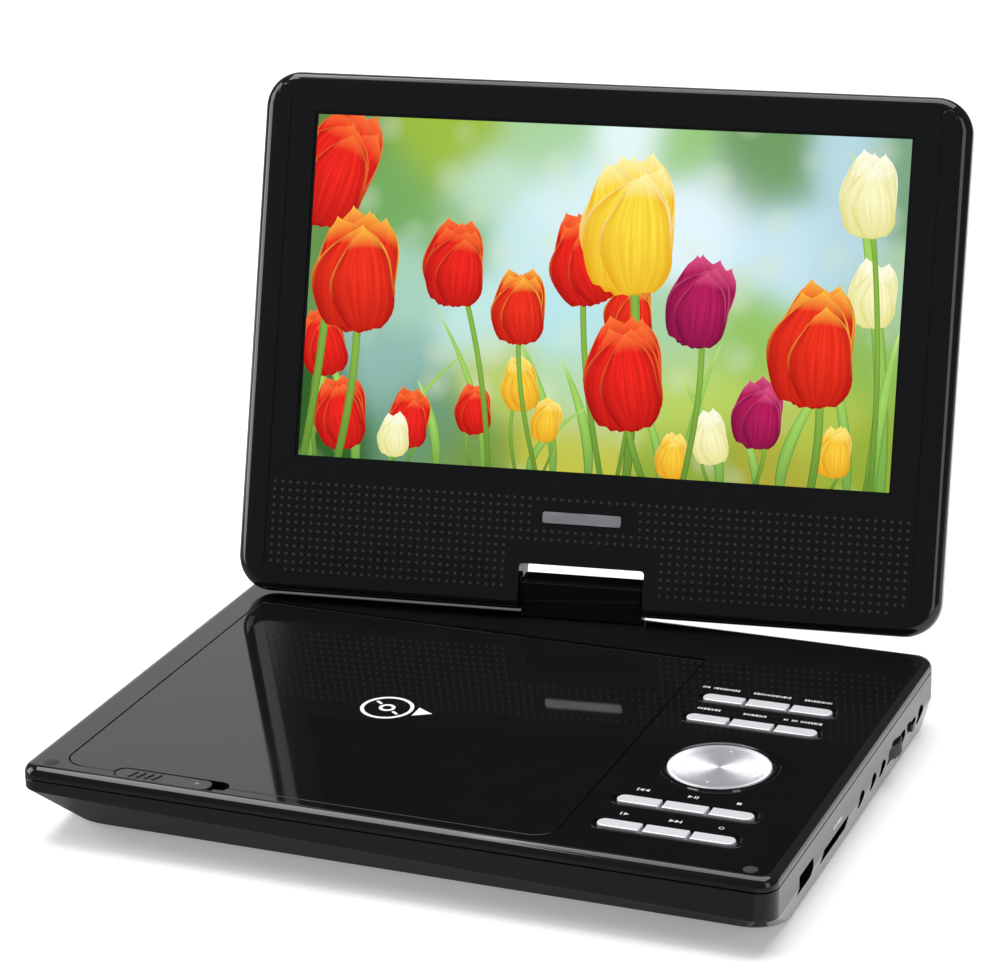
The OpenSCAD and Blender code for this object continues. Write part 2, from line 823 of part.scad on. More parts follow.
module speakers() {
    color([0.2, 0.2, 0.2])
    lid_place()
        for (x = [-75, 75]) translate([x, face + 1.4, 16]) rotate([-90, 0, 0]) {
            cylinder(r = 13.5, h = 3);
            translate([0, 0, 3]) cylinder(r = 7.5, h = 4.5);
        }
}

module nameplate() {
    color([0.75, 0.75, 0.76])
    lid_place() translate([-14.2, face - 0.25, 22.4]) cube([26.6, 0.25, 4.6]);
}

module lid_screws() {
    color([0.25, 0.25, 0.26])
    lid_place()
        for (p = lid_screw_at) translate([p[0], 0, p[1]]) rotate([-90, 0, 0]) {
            translate([0, 0, lid_t / 2 - 1]) difference() {
                cylinder(r = 2.2, h = 0.9);
                for (a = [0, 90]) rotate([0, 0, a]) translate([-1.2, -0.25, 0.45]) cube([2.4, 0.5, 1]);
            }
            translate([0, 0, -1]) cylinder(r = 1.2, h = lid_t / 2);
        }
}

module lid_corner_plugs() {
    color([0.12, 0.12, 0.12])
    lid_place()
        for (x = [-1, 1]) translate([x * 110.3, face + 0.5, 160.6])
            rotate([90, 0, 0]) cylinder(r = 2.5, h = 0.5);
}

// ---------- one line per node ----------

base_bottom();
base_top();
disc_well();
battery_cover();
battery_pack();
main_board();
keypad_board();
keypad_membrane();
usb_socket();
card_socket();
phone_jacks();
dc_jack();
power_switch();
switch_knob();
volume_control();
volume_wheel();
rubber_feet();
base_screws();
deck_bumpers();
nav_ring();
nav_stem();
nav_disc();
button(0, 0);  // option_button_1
button(0, 1);  // option_button_2
button(0, 2);  // option_button_3
button(1, 0);  // menu_button_1
button(1, 1);  // menu_button_2
button(1, 2);  // menu_button_3
button(2, 0);  // play_button_1
button(2, 1);  // play_button_2
button(2, 2);  // play_button_3
button(3, 0);  // skip_button_1
button(3, 1);  // skip_button_2
button(3, 2);  // skip_button_3
disc_door();
door_hinge_pins();
door_spring();
release_slider();
traverse_chassis();
dampers();
guide_rods();
spindle_motor();
turntable_hub();
optical_pickup();
sled_motor();
lead_screw();
swivel_bearing();
swivel_shaft();
swivel_nut();
hinge_block();
tilt_pins();
lid_hinge_brackets();
lid_bezel();
lid_back();
lcd_panel();
screen_glass();
speakers();
nameplate();
lid_screws();
lid_corner_plugs();
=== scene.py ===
"""Portable disc player with a swivelling screen: shells, keys, sockets, drive, picture, light and camera."""

import logging
import math
import random
from dataclasses import dataclass
from enum import Enum
from functools import partial
from typing import Callable, Iterable, Optional, Sequence

import bmesh
import bpy
from mathutils import Matrix, Vector


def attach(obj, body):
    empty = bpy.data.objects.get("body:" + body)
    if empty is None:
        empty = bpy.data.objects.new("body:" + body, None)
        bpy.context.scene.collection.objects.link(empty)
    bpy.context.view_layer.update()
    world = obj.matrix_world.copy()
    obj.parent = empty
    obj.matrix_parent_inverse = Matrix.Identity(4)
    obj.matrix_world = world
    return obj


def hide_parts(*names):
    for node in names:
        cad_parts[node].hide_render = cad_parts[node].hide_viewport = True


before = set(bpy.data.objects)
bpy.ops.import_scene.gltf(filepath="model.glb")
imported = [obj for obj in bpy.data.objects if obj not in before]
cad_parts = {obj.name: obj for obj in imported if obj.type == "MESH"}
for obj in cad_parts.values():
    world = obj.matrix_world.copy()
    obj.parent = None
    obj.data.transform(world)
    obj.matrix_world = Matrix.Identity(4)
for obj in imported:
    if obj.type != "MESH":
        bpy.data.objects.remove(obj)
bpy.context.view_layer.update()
LOG = logging.getLogger("player")
MM = 0.001
DECK = 25.0
HINGE_Y = 81.0
HINGE_Z = 32.5
LID_TURN = 7.9
LID_LEAN = 19.5
SHARP = 32.0

Colour = tuple[float, float, float]
Place = tuple[float, float, float]
Pair = tuple[float, float]
Socket = bpy.types.NodeSocket
BMesh = bmesh.types.BMesh
EdgeTest = Callable[[bmesh.types.BMEdge], bool]
SheetShape = Callable[[float, float], Pair]


# ---------------------------------------------------------------- finishes


class Graph:
    """A short way to lay out shader nodes in a tree."""

    def __init__(self, tree: bpy.types.NodeTree) -> None:
        """Keeps the tree.

        Args:
            tree: A material's or a group's node tree.
        """
        self.tree = tree

    def add(self, kind: str, **sets: object) -> bpy.types.Node:
        """Adds a node and sets its properties.

        Args:
            kind: Node type name without its ShaderNode prefix.
            **sets: Property names and values.

        Returns:
            The new node.
        """
        node = self.tree.nodes.new("ShaderNode" + kind)
        for name, value in sets.items():
            setattr(node, name, value)
        return node

    def feed(self, slot: Socket, value: object) -> None:
        """Gives an input a link or a value of its own.

        Args:
            slot: The input.
            value: A socket to link, or the plain value.
        """
        if isinstance(value, Socket):
            self.tree.links.new(value, slot)
        else:
            slot.default_value = value

    def put(self, node: bpy.types.Node, **values: object) -> bpy.types.Node:
        """Fills a node's inputs with plain values or links.

        Args:
            node: The node to fill.
            **values: Input names, with _ for a space, and a value or a socket.

        Returns:
            The same node.
        """
        for name, value in values.items():
            self.feed(node.inputs[name.replace("_", " ")], value)
        return node

    def math(self, kind: str, a: object, b: object = 0.0, c: object = 0.0) -> Socket:
        """Adds a Math node.

        Args:
            kind: The operation.
            a: First number or socket.
            b: Second number or socket.
            c: Third number or socket.

        Returns:
            The result.
        """
        node = self.add("Math", operation=kind)
        for slot, value in zip(node.inputs, (a, b, c)):
            self.feed(slot, value)
        return node.outputs[0]

    def mix(self, factor: object, a: object, b: object) -> Socket:
        """Mixes two colours.

        Args:
            factor: Share of the second colour.
            a: First colour or socket.
            b: Second colour or socket.

        Returns:
            The mixed colour.
        """
        node = self.add("Mix", data_type="RGBA")
        for slot, value in zip((node.inputs[0], node.inputs[6], node.inputs[7]), (factor, a, b)):
            self.feed(slot, (*value, 1.0) if isinstance(value, tuple) else value)
        return node.outputs[2]

    def blend(self, factor: Socket, first: bpy.types.Node, second: bpy.types.Node, end: bpy.types.Node) -> None:
        """Mixes two shaders and leads them to the output.

        Args:
            factor: Share of the second shader.
            first: First shader.
            second: Second shader.
            end: The output node.
        """
        mixer = self.add("MixShader")
        for slot, value in zip(mixer.inputs, (factor, first.outputs[0], second.outputs[0])):
            self.feed(slot, value)
        self.feed(end.inputs[0], mixer.outputs[0])

    def band(self, value: Socket, low: float, high: float, to: float = 0.0, end: float = 1.0) -> Socket:
        """Maps a range of a value onto another, clamped.

        Args:
            value: The value to map.
            low: Start of the range.
            high: End of the range.
            to: Result at the start.
            end: Result at the end.

        Returns:
            The mapped value.
        """
        node = self.add("MapRange")
        return self.put(node, Value=value, From_Min=low, From_Max=high, To_Min=to, To_Max=end).outputs[0]


class Effect(Enum):
    """Shared surface effects, each one node group."""

    SMUDGE = "surface_smudge"
    GRAIN = "moulded_grain"
    DRAWN = "drawn_metal"
    SPUN = "spun_rings"


def effect_group(effect: Effect) -> bpy.types.NodeTree:
    """Builds a shared effect once.

    Args:
        effect: Which effect.

    Returns:
        Its node group, with Scale, Colour, Rough and Spread in, and Colour, Roughness and Height out.
    """
    old = bpy.data.node_groups.get(effect.value)
    if old:
        return old
    tree = bpy.data.node_groups.new(effect.value, "ShaderNodeTree")
    for name, kind in (("Scale", "Float"), ("Colour", "Color"), ("Rough", "Float"), ("Spread", "Float")):
        tree.interface.new_socket(name, in_out="INPUT", socket_type="NodeSocket" + kind)
    for name, kind in (("Colour", "Color"), ("Roughness", "Float"), ("Height", "Float")):
        tree.interface.new_socket(name, in_out="OUTPUT", socket_type="NodeSocket" + kind)
    g = Graph(tree)
    inside, outside = tree.nodes.new("NodeGroupInput"), tree.nodes.new("NodeGroupOutput")
    scale, colour, rough, spread = (inside.outputs[i] for i in range(4))
    place = g.add("TexCoord").outputs["Object"]
    if effect is Effect.DRAWN:
        place = g.put(g.add("Mapping"), Vector=place, Scale=(0.06, 1.0, 1.0)).outputs[0]
    if effect is Effect.SPUN:
        apart = g.put(g.add("SeparateXYZ"), Vector=place)
        x = g.math("SUBTRACT", apart.outputs[0], NavCluster.centre[0] * MM)
        y = g.math("SUBTRACT", apart.outputs[1], NavCluster.centre[1] * MM)
        far = g.math("SQRT", g.math("ADD", g.math("MULTIPLY", x, x), g.math("MULTIPLY", y, y)))
        turn = g.math("MULTIPLY", g.math("ARCTAN2", y, x), 0.0006)
        place = g.put(g.add("CombineXYZ"), X=far, Y=turn).outputs[0]
    broad = g.put(g.add("TexNoise"), Vector=place, Scale=scale, Detail=3.0, Roughness=0.6).outputs[0]
    fine_scale = g.math("MULTIPLY", scale, 6.0 if effect is Effect.SMUDGE else 2.3)
    fine = g.put(g.add("TexNoise"), Vector=place, Scale=fine_scale, Detail=2.0).outputs[0]
    patch = g.band(broad, 0.35, 0.7)
    both = g.math("ADD", g.math("MULTIPLY", patch, 0.6), g.math("MULTIPLY", fine, 0.4))
    shade = g.math("MULTIPLY", g.math("SUBTRACT", both, 0.5), 0.25)
    tint = g.put(g.add("VectorMath", operation="SCALE"), Vector=colour, Scale=g.math("ADD", 1.0, shade))
    wide = g.math("MULTIPLY", g.math("MULTIPLY", both, 2.0), spread)
    outputs = (tint.outputs[0], g.math("ADD", rough, wide), both)
    for slot, value in zip(outside.inputs, outputs):
        tree.links.new(value, slot)
    return tree


@dataclass(frozen=True)
class Finish:
    """A finish: its colour, gloss and the effect that breaks it up."""

    name: str
    colour: Colour
    rough: float = 0.4
    metal: float = 0.0
    effect: Effect = Effect.GRAIN
    scale: float = 900.0
    spread: float = 0.05
    bump: float = 0.0
    coat: float = 0.0
    ior: float = 1.48
    spun: float = 0.0

    def material(self) -> bpy.types.Material:
        """Builds the material, or returns it if it exists."""
        old = bpy.data.materials.get(self.name)
        if old:
            return old
        made = bpy.data.materials.new(self.name)
        made.use_nodes = True
        g = Graph(made.node_tree)
        shader = made.node_tree.nodes["Principled BSDF"]
        group = g.add("Group", node_tree=effect_group(self.effect))
        g.put(group, Scale=self.scale, Colour=(*self.colour, 1.0), Rough=self.rough, Spread=self.spread)
        g.put(shader, Base_Color=group.outputs[0], Roughness=group.outputs[1], Metallic=self.metal)
        g.put(shader, IOR=self.ior, Coat_Weight=self.coat, Coat_Roughness=0.08, Anisotropic=self.spun)
        if self.bump:
            bump = g.put(g.add("Bump"), Height=group.outputs[2], Strength=self.bump, Distance=0.0002)
            g.put(shader, Normal=bump.outputs[0])
        return made


@dataclass(frozen=True)
class Ink:
    """Screen-printed ink, slightly uneven."""

    name: str
    colour: Colour

    def material(self) -> bpy.types.Material:
        """Builds the ink from the shared grain."""
        return Finish(self.name, self.colour, 0.5, 0.0, Effect.GRAIN, 2500.0, 0.04).material()


@dataclass(frozen=True)
class Lit:
    """Colour of something shown on the lit screen: the light leaves towards the eye only."""

    name: str
    dark: Colour
    light: Colour
    tip: Colour
    streak: float = 9.0

    def material(self) -> bpy.types.Material:
        """Builds the lit colour, which runs along the shape's own UV map."""
        made = bpy.data.materials.new(self.name)
        made.use_nodes = True
        g = Graph(made.node_tree)
        place = g.put(g.add("SeparateXYZ"), Vector=g.add("TexCoord").outputs["UV"])
        lines = g.add("TexNoise", noise_dimensions="2D")
        flat = g.add("TexCoord").outputs["UV"]
        stretch = g.put(g.add("Mapping"), Vector=flat, Scale=(self.streak, 0.9, 1.0))
        g.put(lines, Vector=stretch.outputs[0], Scale=1.6, Detail=2.5)
        across = g.math("ABSOLUTE", g.math("SUBTRACT", place.outputs[0], 0.5))
        body = g.band(across, 0.30, 0.50, 1.0, 0.30)
        along = g.band(place.outputs[1], 0.0, 0.55, 0.45, 1.0)
        veins = g.band(lines.outputs[0], 0.3, 0.7, 0.62, 1.05)
        amount = g.math("MULTIPLY", g.math("MULTIPLY", body, along), veins)
        edge = g.math("MAXIMUM", g.band(place.outputs[1], 0.80, 1.0), g.band(across, 0.455, 0.5))
        edge = g.math("MULTIPLY", edge, g.band(place.outputs[1], 0.3, 0.8))
        colour = g.mix(edge, g.mix(amount, self.dark, self.light), self.tip)
        return screen_light(made, g, colour)


def screen_light(made: bpy.types.Material, g: Graph, colour: Socket) -> bpy.types.Material:
    """Makes a material shine with a colour for the eye, and stay dark in mirrors of it.

    Args:
        made: The material.
        g: Its graph.
        colour: The colour it shows.

    Returns:
        The same material.
    """
    shader = made.node_tree.nodes["Principled BSDF"]
    g.put(shader, Base_Color=(0.0, 0.0, 0.0, 1.0), Roughness=0.6, Emission_Color=colour)
    g.put(shader, Emission_Strength=1.0, IOR=1.2)
    unlit = g.add("BsdfPrincipled")
    g.put(unlit, Base_Color=(0.002, 0.002, 0.002, 1.0), Roughness=1.0, Specular_IOR_Level=0.0)
    path = g.add("LightPath").outputs["Is Camera Ray"]
    g.blend(path, unlit, shader, made.node_tree.nodes["Material Output"])
    return made


GLOSS = Finish("piano_black", (0.0055, 0.0055, 0.006), 0.035, 0.0, Effect.SMUDGE, 14.0, 0.018, ior=1.44)
LID_GLOSS = Finish("lid_black", (0.0055, 0.0055, 0.006), 0.05, 0.0, Effect.SMUDGE, 11.0, 0.02, ior=1.44)
TRIM = Finish("satin_black", (0.012, 0.012, 0.0125), 0.26, 0.0, Effect.GRAIN, 1800.0, 0.06, 0.06)
MATTE = Finish("moulded_black", (0.02, 0.02, 0.021), 0.5, 0.0, Effect.GRAIN, 2200.0, 0.1, 0.2)
RUBBER = Finish("rubber_black", (0.022, 0.022, 0.022), 0.75, 0.0, Effect.GRAIN, 1500.0, 0.1, 0.25)
SILVER = Finish("key_silver", (0.72, 0.73, 0.75), 0.3, 0.35, Effect.GRAIN, 3000.0, 0.06, 0.05, 0.3)
SPUN = Finish("spun_silver", (0.72, 0.72, 0.75), 0.36, 0.7, Effect.SPUN, 3400.0, 0.1, 0.05, spun=0.8)
STEEL = Finish("bare_steel", (0.5, 0.5, 0.52), 0.3, 1.0, Effect.DRAWN, 700.0, 0.12, 0.15)
BRIGHT = Finish("polished_pin", (0.7, 0.7, 0.72), 0.12, 1.0, Effect.DRAWN, 900.0, 0.06, 0.05)
BRASS = Finish("bare_brass", (0.62, 0.45, 0.2), 0.28, 1.0, Effect.DRAWN, 900.0, 0.1, 0.1)
ALLOY = Finish("folded_alloy", (0.6, 0.6, 0.62), 0.35, 0.9, Effect.DRAWN, 500.0, 0.12, 0.12)
PLATE = Finish("satin_plate", (0.55, 0.55, 0.57), 0.3, 0.8, Effect.DRAWN, 1200.0, 0.08, 0.08)
BOARD = Finish("circuit_green", (0.012, 0.09, 0.035), 0.35, 0.0, Effect.GRAIN, 260.0, 0.15, 0.3)
WRAP = Finish("battery_wrap", (0.02, 0.045, 0.16), 0.3, 0.0, Effect.SMUDGE, 60.0, 0.1, 0.1)
PALE = Finish("key_membrane", (0.5, 0.5, 0.47), 0.55, 0.0, Effect.GRAIN, 900.0, 0.1, 0.15)

NODE_FINISH: dict[str, Finish] = {
    **dict.fromkeys(("base_bottom", "base_top", "disc_door", "hinge_block", "nav_ring"), GLOSS),
    **dict.fromkeys(("lid_bezel", "lid_back", "screen_glass"), LID_GLOSS),
    **dict.fromkeys(("disc_well", "battery_cover", "turntable_hub", "optical_pickup", "speakers"), MATTE),
    **dict.fromkeys(("phone_jacks", "dc_jack", "switch_knob", "volume_control", "nav_stem"), MATTE),
    **dict.fromkeys(("release_slider", "volume_wheel", "lid_corner_plugs"), TRIM),
    **dict.fromkeys(("rubber_feet", "deck_bumpers", "dampers"), RUBBER),
    **dict.fromkeys(("main_board", "keypad_board"), BOARD),
    **dict.fromkeys(("usb_socket", "card_socket", "power_switch", "swivel_nut", "door_spring"), STEEL),
    **dict.fromkeys(("base_screws", "lid_screws", "traverse_chassis", "sled_motor", "spindle_motor"), STEEL),
    **dict.fromkeys(("swivel_bearing", "lid_hinge_brackets"), STEEL),
    **dict.fromkeys(("door_hinge_pins", "guide_rods", "swivel_shaft", "tilt_pins"), BRIGHT),
    "lead_screw": BRASS,
    "keypad_membrane": PALE,
    "battery_pack": WRAP,
    "lcd_panel": ALLOY,
    "nameplate": PLATE,
    "nav_disc": SPUN,
}


# ---------------------------------------------------------------- mesh tools


def scene_object(name: str, data: bpy.types.ID) -> bpy.types.Object:
    """Puts a new object into the scene.

    Args:
        name: Its name.
        data: Its mesh, light or camera.

    Returns:
        The object.
    """
    obj = bpy.data.objects.new(name, data)
    bpy.context.scene.collection.objects.link(obj)
    return obj


def baked(name: str, bm: BMesh) -> bpy.types.Mesh:
    """Writes an edited mesh, which is used up, into a mesh of the file.

    Args:
        name: Name of the mesh.
        bm: The edited mesh.

    Returns:
        The mesh.
    """
    mesh = bpy.data.meshes.new(name)
    bm.to_mesh(mesh)
    bm.free()
    return mesh


def flat_plate(x0: float, y0: float, x1: float, y1: float, z: float, radii: Sequence[float],
               steps: int = 10) -> BMesh:
    """Makes a flat face with rounded corners, in millimetres.

    Args:
        x0: Left side.
        y0: Near side.
        x1: Right side.
        y1: Far side.
        z: Height.
        radii: Corner radii: near left, near right, far right, far left.
        steps: Segments in a corner.

    Returns:
        A mesh of one face that looks up.
    """
    bm = bmesh.new()
    bmesh.ops.create_grid(bm, x_segments=1, y_segments=1, size=0.5)
    corners: dict[float, list[bmesh.types.BMVert]] = {}
    for v in bm.verts:
        left, near = v.co.x < 0, v.co.y < 0
        radius = radii[(0 if left else 1) if near else (3 if left else 2)]
        v.co = Vector((x0 if left else x1, y0 if near else y1, z))
        corners.setdefault(radius, []).append(v)
    for radius, verts in corners.items():
        if radius > 0:
            bmesh.ops.bevel(
                bm, geom=verts, offset=radius, offset_type="OFFSET", segments=steps, profile=0.5,
                affect="VERTICES", clamp_overlap=False, material=-1,
            )
    bmesh.ops.remove_doubles(bm, verts=bm.verts, dist=1e-4)
    return bm


def raise_plate(bm: BMesh, rise: float, grow: Pair = (1.0, 1.0), shift: float = 0.0) -> None:
    """Extrudes the newest flat face along Z.

    Args:
        bm: The mesh.
        rise: How far, up or down.
        grow: Factors on the new face's X and Y.
        shift: Move of the new face along Y.
    """
    faces = [f for f in bm.faces if f.select] or list(bm.faces)
    made = bmesh.ops.extrude_face_region(bm, geom=faces)["geom"]
    verts = [g for g in made if isinstance(g, bmesh.types.BMVert)]
    bmesh.ops.scale(bm, vec=(grow[0], grow[1], 1.0), verts=verts)
    bmesh.ops.translate(bm, vec=(0.0, shift, rise), verts=verts)
    ends = [g for g in made if isinstance(g, bmesh.types.BMFace)]
    for f in bm.faces:
        f.select = f in ends


def soften(bm: BMesh, keep: EdgeTest, width: float, steps: int = 3) -> None:
    """Bevels the edges that a test picks.

    Args:
        bm: The mesh.
        keep: True for an edge to bevel.
        width: Bevel width.
        steps: Segments.
    """
    edges = [e for e in bm.edges if keep(e)]
    if edges:
        bmesh.ops.bevel(
            bm, geom=edges, offset=width, offset_type="OFFSET", segments=steps, profile=0.5,
            affect="EDGES", clamp_overlap=True, material=-1,
        )


def at_height(z: float) -> EdgeTest:
    """Gives a test for edges that lie at a height."""
    return lambda e: all(abs(v.co.z - z) < 1e-3 for v in e.verts)


def block(x0: float, y0: float, x1: float, y1: float, z0: float, z1: float, radii: object = 0.0,
          top: float = 0.0, bottom: float = 0.0, steps: int = 10, soft: int = 3) -> BMesh:
    """Makes a closed block with rounded corners and softened ends.

    Args:
        x0: Left side.
        y0: Near side.
        x1: Right side.
        y1: Far side.
        z0: Underside.
        z1: Top.
        radii: One corner radius, or four.
        top: Bevel round the top.
        bottom: Bevel round the underside.
        steps: Segments in a corner.
        soft: Segments in a bevel.

    Returns:
        The mesh, in millimetres.
    """
    four = tuple(radii) if isinstance(radii, (tuple, list)) else (radii,) * 4
    bm = flat_plate(x0, y0, x1, y1, z0, four, steps)
    raise_plate(bm, z1 - z0)
    if top:
        soften(bm, at_height(z1), top, soft)
    if bottom:
        soften(bm, at_height(z0), bottom, soft)
    bmesh.ops.recalc_face_normals(bm, faces=bm.faces)
    return bm


def pill(cx: float, cy: float, length: float, width: float, z0: float, z1: float,
         top: float = 0.0) -> BMesh:
    """Makes a bar with round ends, seen from above.

    Args:
        cx: Middle, across.
        cy: Middle, front to rear.
        length: Length across.
        width: Width front to rear.
        z0: Underside.
        z1: Top.
        top: Bevel round the top.

    Returns:
        The mesh.
    """
    half = width / 2 - 0.01
    return block(cx - length / 2, cy - width / 2, cx + length / 2, cy + width / 2, z0, z1, half, top)


def turned(profile: Sequence[Pair], steps: int = 64) -> BMesh:
    """Spins a profile of radius and height pairs about Z.

    Args:
        profile: The pairs, from one end to the other.
        steps: Segments round.

    Returns:
        The closed mesh.
    """
    bm = bmesh.new()
    verts = [bm.verts.new((r, 0.0, z)) for r, z in profile]
    edges = [bm.edges.new(pair) for pair in zip(verts, verts[1:])]
    bmesh.ops.spin(
        bm, geom=verts + edges, cent=(0, 0, 0), axis=(0, 0, 1), angle=math.tau, steps=steps,
        use_merge=True, use_duplicate=False,
    )
    bmesh.ops.remove_doubles(bm, verts=bm.verts, dist=1e-4)
    bmesh.ops.recalc_face_normals(bm, faces=bm.faces)
    return bm


def drum(radius: float, z0: float, z1: float, steps: int) -> BMesh:
    """Makes a plain upright cylinder.

    Args:
        radius: Radius.
        z0: Underside.
        z1: Top.
        steps: Segments round.

    Returns:
        The mesh.
    """
    return turned([(0, z0), (radius, z0), (radius, z1), (0, z1)], steps)


def tipped(bm: BMesh, degrees: float, axis: str) -> BMesh:
    """Turns a mesh about an axis through the origin.

    Args:
        bm: The mesh.
        degrees: How far.
        axis: Letter of the axis.

    Returns:
        The same mesh.
    """
    turn = Matrix.Rotation(math.radians(degrees), 3, axis)
    bmesh.ops.rotate(bm, verts=bm.verts, cent=(0, 0, 0), matrix=turn)
    return bm


def rod(x0: float, x1: float, radius: float, steps: int = 40) -> BMesh:
    """Makes a bar along X with softened ends.

    Args:
        x0: One end.
        x1: Other end.
        radius: Radius.
        steps: Segments round.

    Returns:
        The mesh.
    """
    soft = min(0.35, radius * 0.2)
    near = [(0, x0), (radius - soft, x0), (radius, x0 + soft)]
    far = [(radius, x1 - soft), (radius - soft, x1), (0, x1)]
    return tipped(turned(near + far, steps), 90, "Y")


def moved(bm: BMesh, x: float, y: float, z: float, turn: float = 0.0) -> BMesh:
    """Turns a mesh about Z, then moves it.

    Args:
        bm: The mesh.
        x: Move across.
        y: Move front to rear.
        z: Move up.
        turn: Turn about Z, degrees.

    Returns:
        The same mesh.
    """
    place = Matrix.Translation((x, y, z)) @ Matrix.Rotation(math.radians(turn), 4, "Z")
    bmesh.ops.transform(bm, matrix=place, verts=bm.verts)
    return bm


def joined(parts: Iterable[BMesh]) -> BMesh:
    """Puts several meshes into one.

    Args:
        parts: The meshes, which are used up.

    Returns:
        One mesh of them all.
    """
    whole = bmesh.new()
    for part in parts:
        mesh = baked("part", part)
        whole.from_mesh(mesh)
        bpy.data.meshes.remove(mesh)
    return whole


def carve(bm: BMesh, *cutters: BMesh) -> BMesh:
    """Cuts meshes out of a mesh, one after another.

    Args:
        bm: The mesh to cut.
        *cutters: What to take away.

    Returns:
        The cut mesh.
    """
    made = [scene_object("cut", baked("cut", source)) for source in (bm, *cutters)]
    for cutter in made[1:]:
        cut = made[0].modifiers.new("cut", "BOOLEAN")
        cut.operation, cut.solver, cut.object = "DIFFERENCE", "EXACT", cutter
    bpy.context.view_layer.update()
    solid = made[0].evaluated_get(bpy.context.evaluated_depsgraph_get())
    result = bmesh.new()
    result.from_mesh(solid.to_mesh())
    solid.to_mesh_clear()
    for obj in made:
        mesh = obj.data
        bpy.data.objects.remove(obj)
        bpy.data.meshes.remove(mesh)
    return result


def piece(name: str, bm: BMesh, body: str, finish: object, replaces: Sequence[str] = (),
          place: Optional[Matrix] = None, even: bool = True) -> bpy.types.Object:
    """Turns a mesh in millimetres into a finished object on a body.

    Args:
        name: Name of the piece.
        bm: The mesh, which is used up.
        body: The body it rides on.
        finish: What gives its material.
        replaces: CAD nodes it stands for.
        place: Where the mesh goes, in metres after scaling.
        even: Whether large flat faces keep their own normals up to their edges.

    Returns:
        The object.
    """
    bmesh.ops.transform(bm, matrix=(place or Matrix.Identity(4)) @ Matrix.Scale(MM, 4), verts=bm.verts)
    mesh = baked(name, bm)
    mesh.shade_smooth()
    mesh.set_sharp_from_angle(angle=math.radians(SHARP))
    obj = scene_object(name, mesh)
    mesh.materials.append(finish if isinstance(finish, bpy.types.Material) else finish.material())
    if even:
        flat = obj.modifiers.new("even_normals", "WEIGHTED_NORMAL")
        flat.mode, flat.weight, flat.keep_sharp = "FACE_AREA", 100, True
    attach(obj, body)
    if replaces:
        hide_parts(*replaces)
    LOG.info("made %s", name)
    return obj


# ---------------------------------------------------------------- base


